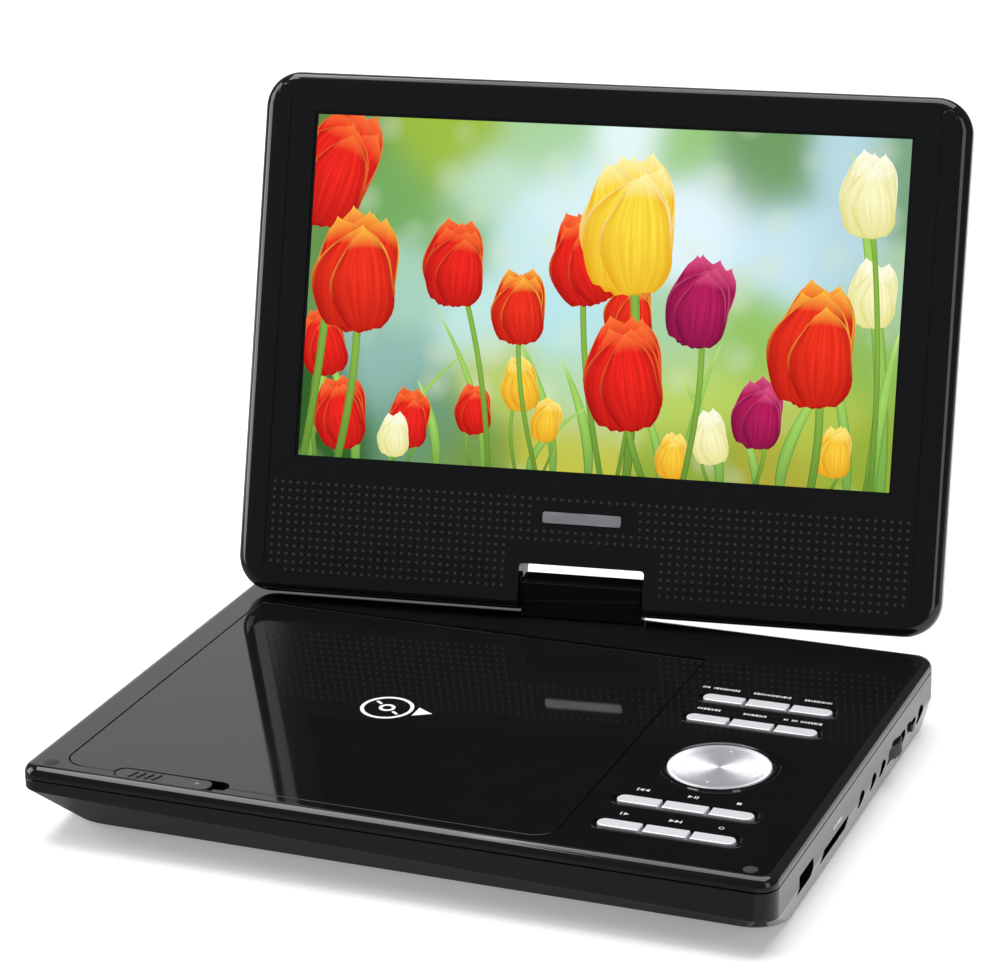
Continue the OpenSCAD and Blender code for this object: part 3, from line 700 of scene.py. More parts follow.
@dataclass
class Base:
    """The two halves of the base, with their holes, and what sits in the deck."""

    wide: float = 236.0
    deep: float = 174.0
    seam: float = 21.0
    crease: float = 14.8
    tilt: float = 2.8
    corner: float = 6.0
    wall: float = 2.0
    rim: float = 3.2
    inset: float = 3.0
    run: float = 16.9
    under_corners: Pair = (16.0, 12.0)
    hole_z: float = 11.3
    jacks: tuple[float, ...] = (1.9, 15.0, 25.4)
    stop: Pair = (109.4, -81.0)
    screws: tuple[Pair, ...] = ((-110, -58), (105.4, -65.4), (-110, 8), (-110, 76), (48, 78), (108, 76))

    def hull(self, shrink: float, low: float, high: float) -> BMesh:
        """Makes the boat-shaped lower half, or its inside.

        Args:
            shrink: How far every wall moves in.
            low: Underside.
            high: Top.

        Returns:
            A closed mesh.
        """
        x, y = self.wide / 2 - shrink, self.deep / 2 - shrink
        old, back = self.corner - shrink, self.run / 2
        narrow, short = (x - self.inset) / x, (y - back) / y
        bm = flat_plate(-x, -y, x, y, high, (old,) * 4, 14)
        raise_plate(bm, self.crease - high)
        raise_plate(bm, low - self.crease, (narrow, short), back)
        for v in bm.verts:
            side = -1 if v.co.x < 0 else 1
            new = self.under_corners[side > 0] - shrink
            ax, ay = old - x + abs(v.co.x) / narrow, old - y - (v.co.y - back) / short
            if abs(v.co.z - low) < 1e-3 and min(ax, ay) > -1e-3:
                v.co.x = side * (x - new + ax * new / old) * narrow
                v.co.y = back - (y - new + ay * new / old) * short
        if not shrink:
            soften(bm, at_height(self.crease), 1.6, 4)
            soften(bm, at_height(low), 1.0, 3)
            soften(bm, at_height(high), 0.35, 2)
        for v in bm.verts:
            below = (v.co.z - low) / (self.crease - low)
            v.co.z -= self.tilt * v.co.x / x * max(min(below, (high - v.co.z) / (high - self.crease)), 0.0)
        bmesh.ops.recalc_face_normals(bm, faces=bm.faces)
        return bm

    def lower(self) -> None:
        """Makes the lower half with its side holes, battery bay and screw holes."""
        x = self.wide / 2
        round_holes = [(2.9, y) for y in self.jacks] + [(3.3, 69.0)]
        jacks = [moved(rod(x - 10, x + 3, r, 28), 0, y, self.hole_z) for r, y in round_holes]
        holes = [moved(drum(1.6, -1, 4, 20), px, py, 0) for px, py in self.screws]
        shell = carve(
            self.hull(0.0, 1.0, self.seam - 0.1),
            self.hull(self.wall, 3.0, self.seam + 1),
            self.side_block(-62.3, -48.5, 9.0, 15.4, 0.8),
            self.side_block(-38.4, -12.4, 8.0, 12.6, 0.6),
            self.side_block(31.4, 50.6, 9.1, 14.5, 1.6),
            self.side_block(54.0, 63.0, 10.4, 13.6, 1.2),
            joined(jacks),
            joined(holes),
            block(-96, 24, 36, 65, -1, 4, 1.5),
        )
        piece("lower_shell", shell, "base", GLOSS, ("base_bottom",))

    def side_block(self, y0: float, y1: float, z0: float, z1: float, radius: float) -> BMesh:
        """Makes a rounded cutter for the right wall.

        Args:
            y0: Near end.
            y1: Far end.
            z0: Lower side.
            z1: Upper side.
            radius: Corner radius.

        Returns:
            A closed mesh through the wall.
        """
        return tipped(block(-z1, y0, -z0, y1, self.wide / 2 - 10, self.wide / 2 + 6, radius), 90, "Y")

    def upper(self) -> None:
        """Makes the upper half: rolled rim, door opening, key recesses, nav hole and slider slot."""
        x, y = self.wide / 2, self.deep / 2
        bm = block(-x, -y, x, y, self.seam + 0.1, DECK, self.corner, self.rim, 0.35, 14, 7)
        cuts = [block(-x + 3, -y + 3, x - 3, y - 3, self.seam - 1, 23.2, self.corner - 3, steps=8)]
        cuts.append(block(-106.8, -80.8, 50.0, 59.4, 18, 28, (7.4, 7.4, 1.5, 1.5), steps=12))
        for row in KeyRows.rows:
            cuts.append(pill(KeyRows.middle + 0.4, row, KeyRows.wide + 4.0, 7.8, 24.2, 28))
            cuts.append(pill(KeyRows.middle, row, KeyRows.wide + 0.8, 5.8, 20, 28))
        cuts.append(moved(drum(18.5, 18, 28, 72), *NavCluster.centre, 0))
        cuts.append(pill(DiscDoor.slider_x, DiscDoor.slider_y, 37.0, 6.6, 24.1, 28))
        cuts.append(block(-82.5, -82.1, -57.5, -78.9, 18, 28))
        cuts.append(moved(drum(3.4, 18, 28, 32), 0, HINGE_Y, 0))
        for side in (-1, 1):
            cuts.append(moved(drum(2.25, 24.4, 28, 28), side * self.stop[0], self.stop[1], 0))
        piece("upper_shell", carve(bm, *cuts), "base", GLOSS, ("base_top",))

    def bumpers(self) -> None:
        """Makes the two soft stops in the deck's front corners."""
        profile = [(0, 24.4), (2.15, 24.4), (2.15, 25.05), (1.7, 25.25), (0, 25.3)]
        stops = [moved(turned(profile, 32), side * self.stop[0], self.stop[1], 0) for side in (-1, 1)]
        piece("deck_stops", joined(stops), "base", RUBBER, ("deck_bumpers",))

    def lips(self) -> None:
        """Makes the fine raised rims of the four key recesses."""
        rims = []
        x, wide = KeyRows.middle + 0.4, KeyRows.wide
        for row in KeyRows.rows:
            rim = pill(x, row, wide + 5.0, 8.8, 24.9, 25.16)
            soften(rim, at_height(25.16), 0.2, 3)
            rims.append(carve(rim, pill(x, row, wide + 3.9, 7.7, 24, 26)))
        piece("row_lips", joined(rims), "base", GLOSS)

    def build(self) -> None:
        """Makes every piece of the base."""
        self.lower()
        self.upper()
        self.lips()
        self.bumpers()


@dataclass
class DiscDoor:
    """The door over the disc well, its release slider and its printed mark."""

    left: float = -106.4
    right: float = 49.6
    near: float = -80.4
    axis: float = 57.2
    slider_x: float = -70.0
    slider_y: float = -80.5
    barrel: float = 1.79
    mark_at: Pair = (-31.0, -10.4)

    def spring_gap(self) -> BMesh:
        """Makes the cutter for the spring's place in the hinge barrel."""
        return block(-36, self.axis - 3, -21, self.axis + 5, 20, 24.6, 0.4)

    def door(self) -> None:
        """Makes the door with its hinge barrel."""
        radii, under = (7.0, 7.0, 0.6, 0.6), 23.2
        plate = block(self.left, self.near, self.right, self.axis - 0.2, under, DECK, radii, 0.3, 0.3, 12, 2)
        plate = carve(plate, pill(self.slider_x, self.slider_y, 37.6, 7.0, 22, 28), self.spring_gap())
        spans = ((self.left, -36), (-21, self.right), (-37, -20))
        barrels = [moved(rod(a, b, self.barrel, 32), 0, self.axis, under) for a, b in spans]
        barrels[2] = carve(barrels[2], self.spring_gap())
        catch = block(self.slider_x - 3, self.near + 3.7, self.slider_x + 3, self.near + 5.3, 20.8, 23.4, 0.3)
        piece("door_skin", joined([plate, catch, *barrels]), "door", GLOSS, ("disc_door",))

    def mark(self) -> None:
        """Prints a plain disc and arrow on the door."""
        (x, y), ink = self.mark_at, DECK + 0.04
        rings = ((7.2, 8.4, 56), (1.5, 2.6, 32))
        marks = [moved(turned([(a, DECK), (a, ink), (b, ink), (b, DECK)], n), x, y, 0) for a, b, n in rings]
        marks += [moved(flat_plate(-6.3, -0.5, -3.4, 0.5, ink, (0.45,) * 4, 4), x, y, 0, a) for a in (-38, 142)]
        marks.append(moved(arrow(7.4), -19.6, y, ink))
        piece("door_mark", joined(marks), "door", Ink("mark_ink", (0.7, 0.7, 0.72)))

    def slider(self) -> None:
        """Makes the ribbed release slider and its stem."""
        x, y = self.slider_x, self.slider_y
        body = pill(x - 2.45, y, 31.5, 6.0, 24.3, DECK, 0.35)
        ribs = [
            moved(block(-0.55, -2.0, 0.55, 2.0, 24.9, 25.35, 0.3, 0.2, steps=3), x - 12.5 + i * 2.6, y, 0, -20)
            for i in range(4)
        ]
        stem = block(x - 10, -81.6, x + 4, -79.4, 20.6, 24.5, 0.3)
        hook = block(x - 6, -81.6, x - 1, -77.4, 20.6, 21.8, 0.3)
        arrow_mark = moved(arrow(2.2), x + 8.5, y, 25.03)
        piece("slider_cap", joined([body, stem, hook, *ribs]), "slider", TRIM, ("release_slider",))
        piece("slider_arrow", arrow_mark, "slider", Ink("slider_ink", (0.16, 0.16, 0.17)))

    def build(self) -> None:
        """Makes the door and its slider."""
        self.door()
        self.mark()
        self.slider()


def arrow(size: float) -> BMesh:
    """Makes a flat triangle that points to the right.

    Args:
        size: Its height.

    Returns:
        A mesh of one face at height 0.
    """
    bm = bmesh.new()
    bmesh.ops.create_circle(bm, cap_ends=True, radius=size / 2, segments=3)
    tipped(bm, -90, "Z")
    for f in bm.faces:
        if f.normal.z < 0:
            f.normal_flip()
    return bm


class Sign(Enum):
    """Signs printed above the keys."""

    WORD = 0
    BACK = 1
    PLAY = 2
    STOP = 3
    NEXT = 4
    SLOW = 5
    MARK = 6


@dataclass
class KeyRows:
    """Twelve silver keys in four rows, with the signs printed above them."""

    rows: tuple[float, ...] = (30.0, 13.8, -48.8, -65.8)
    names: tuple[str, ...] = ("option", "menu", "play", "skip")
    middle: float = 79.4
    wide: float = 41.6
    deep: float = 5.0
    gap: float = 1.1
    top: float = 25.03

    def key(self, row: int, column: int) -> None:
        """Makes one key with a crowned top and a flange under the deck.

        Args:
            row: Row, from the rear.
            column: Column, from the left.
        """
        w = (self.wide - 2 * self.gap) / 3
        x, y = self.middle + (column - 1) * (w + self.gap), self.rows[row]
        end = self.deep / 2 - 0.05
        radii = {0: (end, 0.35, 0.35, end), 1: (0.35,) * 4, 2: (0.35, end, end, 0.35)}[column]
        cap = block(x - w / 2, y - self.deep / 2, x + w / 2, y + self.deep / 2, 21.5, 25.35, radii, 0.45, steps=8)
        flange = block(x - w / 2 + 0.4, y - 3.2, x + w / 2 - 0.4, y + 3.2, 21.3, 22.8, 0.5, 0.2, 0.2, 3, 1)
        name = f"{self.names[row]}_button_{column + 1}"
        piece(name + "_cap", joined([cap, flange]), name + "_body", SILVER, (name,))

    def sign(self, kind: Sign, x0: float, x1: float, y: float) -> list[BMesh]:
        """Draws one sign.

        Args:
            kind: Which sign.
            x0: Its left end.
            x1: Its right end.
            y: Its middle.

        Returns:
            Flat meshes just above the deck.
        """
        z, mid, half = self.top, (x0 + x1) / 2, 0.9
        if kind is Sign.WORD:
            dice = random.Random(round(x0 * 10))
            ticks, x = [], x0
            while x < x1 - 0.6:
                step = dice.choice((0.7, 0.95, 0.95, 1.2))
                if dice.random() > 0.12:
                    tall = dice.choice((0.58, 0.72, 0.72))
                    ticks.append(flat_plate(x, y - tall, x + step - 0.3, y + tall, z, (0.12,) * 4, 2))
                x += step
            return ticks

        def bar(a: float) -> BMesh:
            """Makes an upright bar, so far from the middle."""
            return flat_plate(mid + a - 0.22, y - half, mid + a + 0.22, y + half, z, (0.1,) * 4, 2)

        def tri(a: float, turn: float = 0.0) -> BMesh:
            """Makes an arrow head, so far from the middle and turned by degrees."""
            return moved(arrow(2.1), mid + a, y, z, turn)

        if kind is Sign.BACK:
            return [bar(-1.8), tri(-0.5, 180), tri(1.2, 180)]
        if kind is Sign.NEXT:
            return [bar(1.8), tri(0.5), tri(-1.2)]
        if kind is Sign.PLAY:
            return [tri(-1.0), bar(0.6), bar(1.4)]
        if kind is Sign.SLOW:
            return [bar(-1.2), tri(0.2)]
        if kind is Sign.MARK:
            return [moved(turned([(0.55, 0), (0.85, 0)], 20), mid, y, z)]
        return [flat_plate(mid - 0.7, y - 0.7, mid + 0.7, y + 0.7, z, (0.12,) * 4, 2)]

    def build(self) -> None:
        """Makes all keys and their signs."""
        for row in range(4):
            for column in range(3):
                self.key(row, column)
        w, s = Sign.WORD, Sign
        table = {
            37.6: ((w, 56.0, 69.4), (w, 72.7, 85.3), (w, 89.2, 98.4)),
            21.2: ((w, 59.7, 67.2), (w, 74.5, 81.9), (w, 87.4, 100.4)),
            -41.2: ((s.BACK, 61.5, 66.7), (s.PLAY, 76.5, 82.0), (s.STOP, 92.1, 94.5)),
            -58.4: ((s.SLOW, 62.0, 66.8), (s.NEXT, 77.4, 81.8), (s.MARK, 91.6, 95.5)),
        }
        signs = [m for y, line in table.items() for sign in line for m in self.sign(*sign, y)]
        piece("key_signs", joined(signs), "base", Ink("sign_ink", (0.5, 0.5, 0.51)))
        wall = joined(self.sign(w, -28.4, -19.0, 0.0))
        bmesh.ops.translate(wall, verts=wall.verts, vec=(0, 0, 118.03 - self.top))
        turn = Matrix.Rotation(math.pi / 2, 4, "Z") @ Matrix.Rotation(math.pi / 2, 4, "X")
        stand = Matrix.Translation((0, 0, 0.0152)) @ turn
        piece("wall_sign", wall, "base", Ink("wall_ink", (0.8, 0.8, 0.8)), (), stand)


@dataclass
class NavCluster:
    """The silver navigation disc and the black ring round it."""

    radius: float = 15.7
    centre: Pair = (79.8, -18.4)

    def build(self) -> None:
        """Makes the ring and the disc."""
        r, (cx, cy) = self.radius, self.centre
        ring = turned([
            (r + 0.5, 22.3), (r + 0.5, 25.1), (r + 0.8, 25.35), (r + 1.5, 25.5), (r + 2.2, 25.38),
            (r + 2.6, 25.0), (r + 2.6, 23.1), (r + 4.4, 23.1), (r + 4.4, 22.2), (r + 0.5, 22.2), (r + 0.5, 22.3),
        ], 112)
        piece("nav_bezel", moved(ring, cx, cy, 0), "base", GLOSS, ("nav_ring",))
        disc = turned([
            (0, 22.6), (6, 22.6), (6, 23.6), (r - 0.3, 23.6), (r, 23.9), (r, 24.9), (r - 0.25, 25.2),
            (r - 0.7, 25.3), (r - 1.2, 25.24), (r - 1.6, 25.16), (12.0, 25.04), (8.0, 24.96), (4.0, 24.91),
            (0, 24.9),
        ], 112)
        piece("nav_plate", moved(disc, cx, cy, 0), "navdisc", SPUN, ("nav_disc",), even=False)
        marks = []
        for turn in (0, 90, 180, 270):
            at = Matrix.Rotation(math.radians(turn), 3, "Z") @ Vector((11.4, 0, 0))
            marks.append(moved(arrow(1.4), cx + at.x, cy + at.y, 25.06, turn))
        piece("nav_arrows", joined(marks), "navdisc", Ink("arrow_ink", (0.6, 0.6, 0.62)))


@dataclass
class SideControls:
    """The thumbwheel and the power switch in the right wall."""

    edge: float = 118.0

    def wheel(self) -> None:
        """Makes the knurled thumbwheel."""
        bm = bmesh.new()
        bmesh.ops.create_cone(bm, cap_ends=True, segments=72, radius1=10.3, radius2=10.3, depth=4.6)
        for v in bm.verts:
            if round(math.degrees(math.atan2(v.co.y, v.co.x)) / 5) % 2:
                v.co.xy = v.co.xy * 0.955
        soften(bm, lambda e: abs(e.verts[0].co.z - e.verts[1].co.z) < 1e-3, 0.3, 2)
        bm = carve(bm, drum(1.55, -6, 1.2, 24), turned([(0, 1.8), (6, 1.8), (6.6, 4), (0, 4)], 40))
        bm = moved(bm, self.edge - 9.0, 41.0, 11.8)
        piece("thumb_wheel", bm, "wheel", TRIM, ("volume_wheel",))

    def switch(self) -> None:
        """Makes the ribbed slide switch."""
        plate = block(114.3, 54.5, 115.7, 59.7, 10.7, 13.3, 0.2, 0.1, 0.1, 2, 1)
        finger = block(115.0, 55.6, 118.9, 59.0, 10.9, 13.1, (0.2, 0.5, 0.5, 0.2), 0.3, 0.3, 4, 2)
        cuts = [block(118.45, 56.2 + i * 0.9, 119.5, 56.55 + i * 0.9, 10, 14, 0) for i in range(3)]
        piece("switch_cap", joined([plate, carve(finger, *cuts)]), "knob", TRIM, ("switch_knob",))

    def build(self) -> None:
        """Makes the controls of the right wall."""
        self.wheel()
        self.switch()


# ---------------------------------------------------------------- lid


def swivelled(height: float) -> Matrix:
    """Gives the resting place of what turns on the swivel.

    Args:
        height: Height of its origin, in millimetres.

    Returns:
        The placing matrix, in metres.
    """
    stand = Matrix.Translation((0.0, HINGE_Y * MM, height * MM))
    return stand @ Matrix.Rotation(math.radians(LID_TURN), 4, "Z")


def lid_place() -> Matrix:
    """Gives the lid's resting place: its frame stands on the hinge axis, with the picture's side to the front."""
    return swivelled(HINGE_Z) @ Matrix.Rotation(math.radians(-LID_LEAN), 4, "X")


def upright(depth: float = 0.0) -> Matrix:
    """Turns a shape drawn flat, its top towards the eye, to stand in the lid.

    Args:
        depth: Where its height 0 goes, front to rear, in millimetres.

    Returns:
        The placing matrix, in metres.
    """
    return lid_place() @ Matrix.Translation((0, depth * MM, 0)) @ Matrix.Rotation(math.pi / 2, 4, "X")


@dataclass
class Lid:
    """Front bezel, back shell, nameplate and corner covers of the lid."""

    half: float = 118.0
    low: float = -6.0
    high: float = 167.3
    corner: float = 12.0
    front: float = 6.75
    step_in: float = 9.6
    bow: float = 1.9
    notch: float = 20.9
    notch_top: float = 9.2
    window: tuple[float, ...] = (-99.0, 40.0, 99.0, 153.4)
    cover: Pair = (110.3, 160.6)
    screws: tuple[Pair, ...] = ((-108, 150), (108, 150), (-108, 60), (108, 60), (-60, 12), (60, 12))

    def notch_walls(self, z0: float, z1: float) -> BMesh:
        """Makes what stays standing round the hinge notch.

        Args:
            z0: Lower end.
            z1: Upper end.

        Returns:
            The mesh.
        """
        side = self.notch + 1.4
        return block(-side, -30, side, self.notch_top + 1.4, z0, z1, 0)

    def notch_cut(self) -> BMesh:
        """Makes the cutter for the hinge notch."""
        return block(-self.notch, -30, self.notch, self.notch_top, -20, 20, (0, 0, 1.2, 1.2), steps=4)

    def bezel(self) -> None:
        """Makes the front frame: rolled edge, shallow step, picture window and hinge notch."""
        radii = (self.corner,) * 4
        bm = flat_plate(-self.half, self.low, self.half, self.high, 1.5, radii, 16)
        raise_plate(bm, self.front - 1.5)
        soften(bm, at_height(self.front), 3.4, 8)
        edge = self.half - self.step_in
        for x in (side * (edge + 1.5 * i) for i in range(6) for side in (-1, 1)):
            geom = [*bm.verts, *bm.edges, *bm.faces]
            bmesh.ops.bisect_plane(bm, geom=geom, dist=1e-4, plane_co=(x, 0, 0), plane_no=(1, 0, 0))
        for v in bm.verts:
            out = max(abs(v.co.x) - edge, 0.0) / self.step_in
            v.co.z -= self.bow * out * out * (v.co.z - 1.5) / (self.front - 1.5)
        bmesh.ops.recalc_face_normals(bm, faces=bm.faces)
        x0, y0, x1, y1 = self.window
        slope = block(x0 - 0.9, y0 - 0.9, x1 + 0.9, y1 + 0.9, 6.1, 9, 0.4, steps=3)
        half = self.half - 3
        inside = block(-half, self.low + 3, half, self.high - 3, -1, 5.4, self.corner - 3, steps=6)
        cuts = [carve(inside, self.notch_walls(-2, 6)), block(x0, y0, x1, y1, -2, 9, 0), slope, self.notch_cut()]
        for side in (-1, 1):
            cuts.append(moved(block(-0.2, 3.0, 0.2, 158.0, 6.45, 9, 0), side * (edge - 0.1), 0, 0))
            cuts.append(moved(drum(2.6, 6.2, 9, 28), side * self.cover[0], self.cover[1], 0))
        piece("lid_front", carve(bm, *cuts), "lid", LID_GLOSS, ("lid_bezel",), upright())

    def back(self) -> None:
        """Makes the back shell with its soft edge, screw wells and hinge notch."""
        bm = block(-self.half, self.low, self.half, self.high, -6.75, 1.4, self.corner, 0.0, 4.5, 16, 8)
        soften(bm, at_height(1.4), 0.3, 2)
        half = self.half - 3.2
        inside = block(-half, self.low + 3.2, half, self.high - 3.2, -4.9, 3, 8, 0, 1.5, 6, 2)
        well = [(0, -8), (2.4, -8), (2.4, -5.75), (1.3, -5.75), (1.3, 0), (0, 0)]
        cuts = [carve(inside, self.notch_walls(-6, 4)), self.notch_cut()]
        cuts += [moved(turned(well, 28), x, y, 0) for x, y in self.screws]
        piece("lid_rear", carve(bm, *cuts), "lid", LID_GLOSS, ("lid_back",), upright())

    def trims(self) -> None:
        """Makes the blank nameplate and the round corner covers."""
        plate = block(-14.0, 22.9, 12.2, 26.6, 6.7, 7.0, 0.8, 0.12, steps=4, soft=2)
        piece("blank_plate", plate, "lid", PLATE, ("nameplate",), upright())
        profile = [(0, 6.25), (2.5, 6.25), (2.5, 6.6), (2.2, 6.75), (1.2, 6.72), (0, 6.7)]
        covers = [moved(turned(profile, 32), side * self.cover[0], self.cover[1], 0) for side in (-1, 1)]
        piece("corner_covers", joined(covers), "lid", GLOSS, ("lid_corner_plugs",), upright())

    def build(self) -> None:
        """Makes the lid's shells and trims."""
        self.bezel()
        self.back()
        self.trims()


@dataclass
class SpeakerGrille:
    """Rows of small round perforations below the picture, drawn as flat discs."""

    pitch: float = 2.65
    rows: int = 12
    low: float = 1.6
    edge: float = 108.6
    radius: float = 0.55

    def holds(self, x: float, y: float) -> bool:
        """Says whether a perforation belongs at a place."""
        corner = max(abs(x) - (self.edge - 9.0), 0.0), max(self.low + 9.0 - y, 0.0)
        if math.hypot(*corner) > 9.6:
            return False
        if abs(x) < 25.0 and y < 15.0:
            return False
        return not (-18.5 < x < 16.5 and 20.5 < y < 29.0)

    def build(self) -> None:
        """Makes every perforation as a flat grey disc with a smaller flat black disc on it, the black disc
        painted shade standing in for the hole.
        """
        lips, wells = bmesh.new(), bmesh.new()
        count = int(self.edge / self.pitch)
        for i in range(-count, count + 1):
            for j in range(self.rows):
                x, y = i * self.pitch, self.low + j * self.pitch
                if not self.holds(x, y):
                    continue
                # The larger discs are flat grey, lighter than the gloss; the smaller discs are flat black,
                # painted shade where the holes would be dark inside.
                for bm, r, z in ((lips, self.radius, 6.77), (wells, self.radius * 0.62, 6.785)):
                    spot = Matrix.Translation((x, y, z))
                    bmesh.ops.create_circle(bm, cap_ends=True, radius=r, segments=8, matrix=spot)
        piece("grille_lips", lips, "lid", Ink("grille_grey", (0.022, 0.022, 0.023)), (), upright())
        # These flat black discs are painted shade for the holes; nothing is cut.
        piece("grille_hole_shade", wells, "lid", MATTE, (), upright())


@dataclass
class HingeBlock:
    """The block between the lid's two sides, on the swivel shaft."""

    wide: float = 40.8
    radius: float = 4.9

    def build(self) -> None:
        """Makes the block as one bar that runs down to the deck."""
        half, top = self.wide / 2, HINGE_Z + self.radius
        bar = block(-half, -self.radius, half, self.radius, 25.3, top, 0.7, 0.0, 0.4, 4, 2)
        soften(bar, lambda e: at_height(top)(e) and abs(e.verts[0].co.x - e.verts[1].co.x) > 5, 4.1, 10)
        piece("hinge_cover", bar, "swivel", GLOSS, ("hinge_block",), swivelled(0.0))


# ---------------------------------------------------------------- picture


@dataclass(frozen=True)
class Flower:
    """One tulip in the picture: where it stands, its size and its colours."""

    x: float
    y: float
    size: float
    lean: float
    tone: str
    foot: float = 0.0


@dataclass
class Picture:
    """The lit picture: a blurred meadow with tulips in front, drawn on the display."""

    left: float = -99.0
    low: float = 40.0
    wide: float = 198.0
    high: float = 113.4
    sheet: float = 5.45
    blobs: tuple[tuple[float, float, float, Colour], ...] = (
        (0.00, 0.95, 0.16, (0.12, 0.25, 0.06)), (0.12, 0.78, 0.13, (0.18, 0.42, 0.12)),
        (0.22, 0.97, 0.14, (0.34, 0.52, 0.05)), (0.30, 0.80, 0.10, (0.55, 0.78, 0.62)),
        (0.26, 0.66, 0.10, (0.22, 0.46, 0.16)), (0.40, 0.95, 0.12, (0.40, 0.66, 0.34)),
        (0.44, 0.78, 0.13, (0.70, 0.90, 0.96)), (0.36, 0.66, 0.10, (0.60, 0.84, 0.86)),
        (0.54, 0.96, 0.10, (0.80, 0.95, 0.95)), (0.62, 0.94, 0.09, (0.30, 0.58, 0.18)),
        (0.66, 0.74, 0.14, (0.78, 0.93, 1.00)), (0.76, 0.90, 0.13, (0.16, 0.34, 0.12)),
        (0.79, 0.66, 0.13, (0.60, 0.82, 0.92)), (0.90, 0.92, 0.10, (0.50, 0.72, 0.80)),
        (0.88, 0.66, 0.10, (0.48, 0.70, 0.78)), (1.00, 0.90, 0.12, (0.20, 0.38, 0.22)),
        (0.99, 0.52, 0.12, (0.42, 0.62, 0.40)), (0.17, 0.50, 0.12, (0.40, 0.66, 0.52)),
        (0.30, 0.42, 0.11, (0.55, 0.82, 0.80)), (0.46, 0.44, 0.12, (0.50, 0.80, 0.84)),
        (0.63, 0.40, 0.12, (0.40, 0.66, 0.40)), (0.75, 0.44, 0.12, (0.30, 0.56, 0.12)),
        (0.95, 0.38, 0.12, (0.28, 0.50, 0.08)), (0.04, 0.60, 0.12, (0.14, 0.30, 0.08)),
        (0.02, 0.10, 0.13, (0.03, 0.12, 0.02)), (0.16, 0.28, 0.12, (0.28, 0.50, 0.44)),
        (0.22, 0.12, 0.12, (0.14, 0.32, 0.18)), (0.33, 0.26, 0.11, (0.50, 0.62, 0.14)),
        (0.47, 0.24, 0.12, (0.48, 0.72, 0.42)), (0.45, 0.04, 0.13, (0.55, 0.56, 0.06)),
        (0.66, 0.24, 0.13, (0.50, 0.66, 0.12)), (0.68, 0.03, 0.12, (0.28, 0.40, 0.04)),
        (0.86, 0.22, 0.13, (0.46, 0.58, 0.08)), (0.97, 0.05, 0.12, (0.30, 0.42, 0.04)),
        (0.30, 0.03, 0.12, (0.18, 0.32, 0.06)), (0.80, 0.04, 0.11, (0.42, 0.40, 0.04)),
    )
    flowers: tuple[tuple, ...] = (
        (0.190, 0.130, 0.17, 4, "scarlet"), (0.070, 0.140, 0.22, -6, "scarlet"),
        (0.165, 0.080, 0.13, 3, "cream"), (0.300, 0.170, 0.15, 0, "scarlet"),
        (0.375, 0.250, 0.16, -10, "amber"), (0.425, 0.150, 0.13, 12, "amber"),
        (0.030, 0.340, 0.20, -12, "scarlet"), (0.780, 0.205, 0.20, 10, "wine"),
        (0.700, 0.130, 0.16, -8, "cream"), (0.905, 0.110, 0.15, 4, "amber"),
        (0.955, 0.560, 0.19, 4, "cream", 0.96), (0.640, 0.070, 0.14, 6, "amber"),
        (0.255, 0.590, 0.25, 8, "scarlet", 0.33), (0.365, 0.475, 0.22, 0, "ember", 0.41),
        (0.035, 0.860, 0.36, 24, "scarlet", 0.01), (0.085, 0.560, 0.36, 2, "ember", 0.07),
        (0.470, 0.620, 0.27, -16, "scarlet", 0.52), (0.555, 0.480, 0.20, 4, "ember", 0.55),
        (0.672, 0.520, 0.27, 14, "wine", 0.66), (0.545, 0.730, 0.40, 4, "yolk", 0.565),
        (0.553, 0.300, 0.33, -2, "scarlet", 0.590), (0.862, 0.415, 0.36, 4, "ember", 0.872),
        (0.938, 0.840, 0.24, 2, "cream", 0.97),
    )
    tones = {
        "scarlet": ((0.30, 0.0, 0.0), (0.94, 0.02, 0.012), (1.0, 0.20, 0.04)),
        "ember": ((0.34, 0.0, 0.0), (0.94, 0.035, 0.012), (1.0, 0.52, 0.06)),
        "wine": ((0.11, 0.0, 0.03), (0.52, 0.012, 0.11), (0.75, 0.10, 0.25)),
        "yolk": ((0.78, 0.34, 0.0), (1.0, 0.78, 0.06), (1.0, 0.93, 0.45)),
        "amber": ((0.70, 0.26, 0.0), (1.0, 0.66, 0.05), (1.0, 0.85, 0.25)),
        "cream": ((0.70, 0.66, 0.14), (1.0, 0.97, 0.62), (1.0, 1.0, 0.85)),
        "stem": ((0.05, 0.15, 0.01), (0.28, 0.52, 0.07), (0.36, 0.62, 0.12)),
        "blade": ((0.05, 0.20, 0.02), (0.42, 0.74, 0.14), (0.60, 0.85, 0.25)),
    }

    def spot(self, u: float, v: float) -> Pair:
        """Turns a place in the picture, 0 to 1 each way, into millimetres on the lid."""
        return self.left + u * self.wide, self.low + v * self.high

    def meadow(self) -> None:
        """Makes the blurred background as a fine sheet with colours that run into each other."""
        bm = bmesh.new()
        bmesh.ops.create_grid(bm, x_segments=96, y_segments=56, size=0.5)
        for v in bm.verts:
            u, w = v.co.x + 0.5, v.co.y + 0.5
            v.co = Vector((*self.spot(u, w), self.sheet))
        obj = piece("picture_meadow", bm, "lid", self.meadow_light(), ("screen_glass",), upright())
        shade = obj.data.color_attributes.new("meadow", "FLOAT_COLOR", "POINT")
        back = upright().inverted()
        for v, c in zip(obj.data.vertices, shade.data):
            p = back @ v.co
            u, w = (p.x / MM - self.left) / self.wide, (p.y / MM - self.low) / self.high
            c.color = (*self.blur(u, w), 1.0)

    def blur(self, u: float, w: float) -> Colour:
        """Gives the meadow's colour at a place.

        Args:
            u: Across, 0 to 1.
            w: Up, 0 to 1.

        Returns:
            The colour.
        """
        total, mix = 1e-6, Vector((0.0, 0.0, 0.0))
        for bu, bw, size, colour in self.blobs:
            far = math.hypot((u - bu) * 1.75, w - bw) / size
            share = math.exp(-1.3 * far * far)
            total += share
            mix += Vector(colour) * share
        return tuple(mix / total)

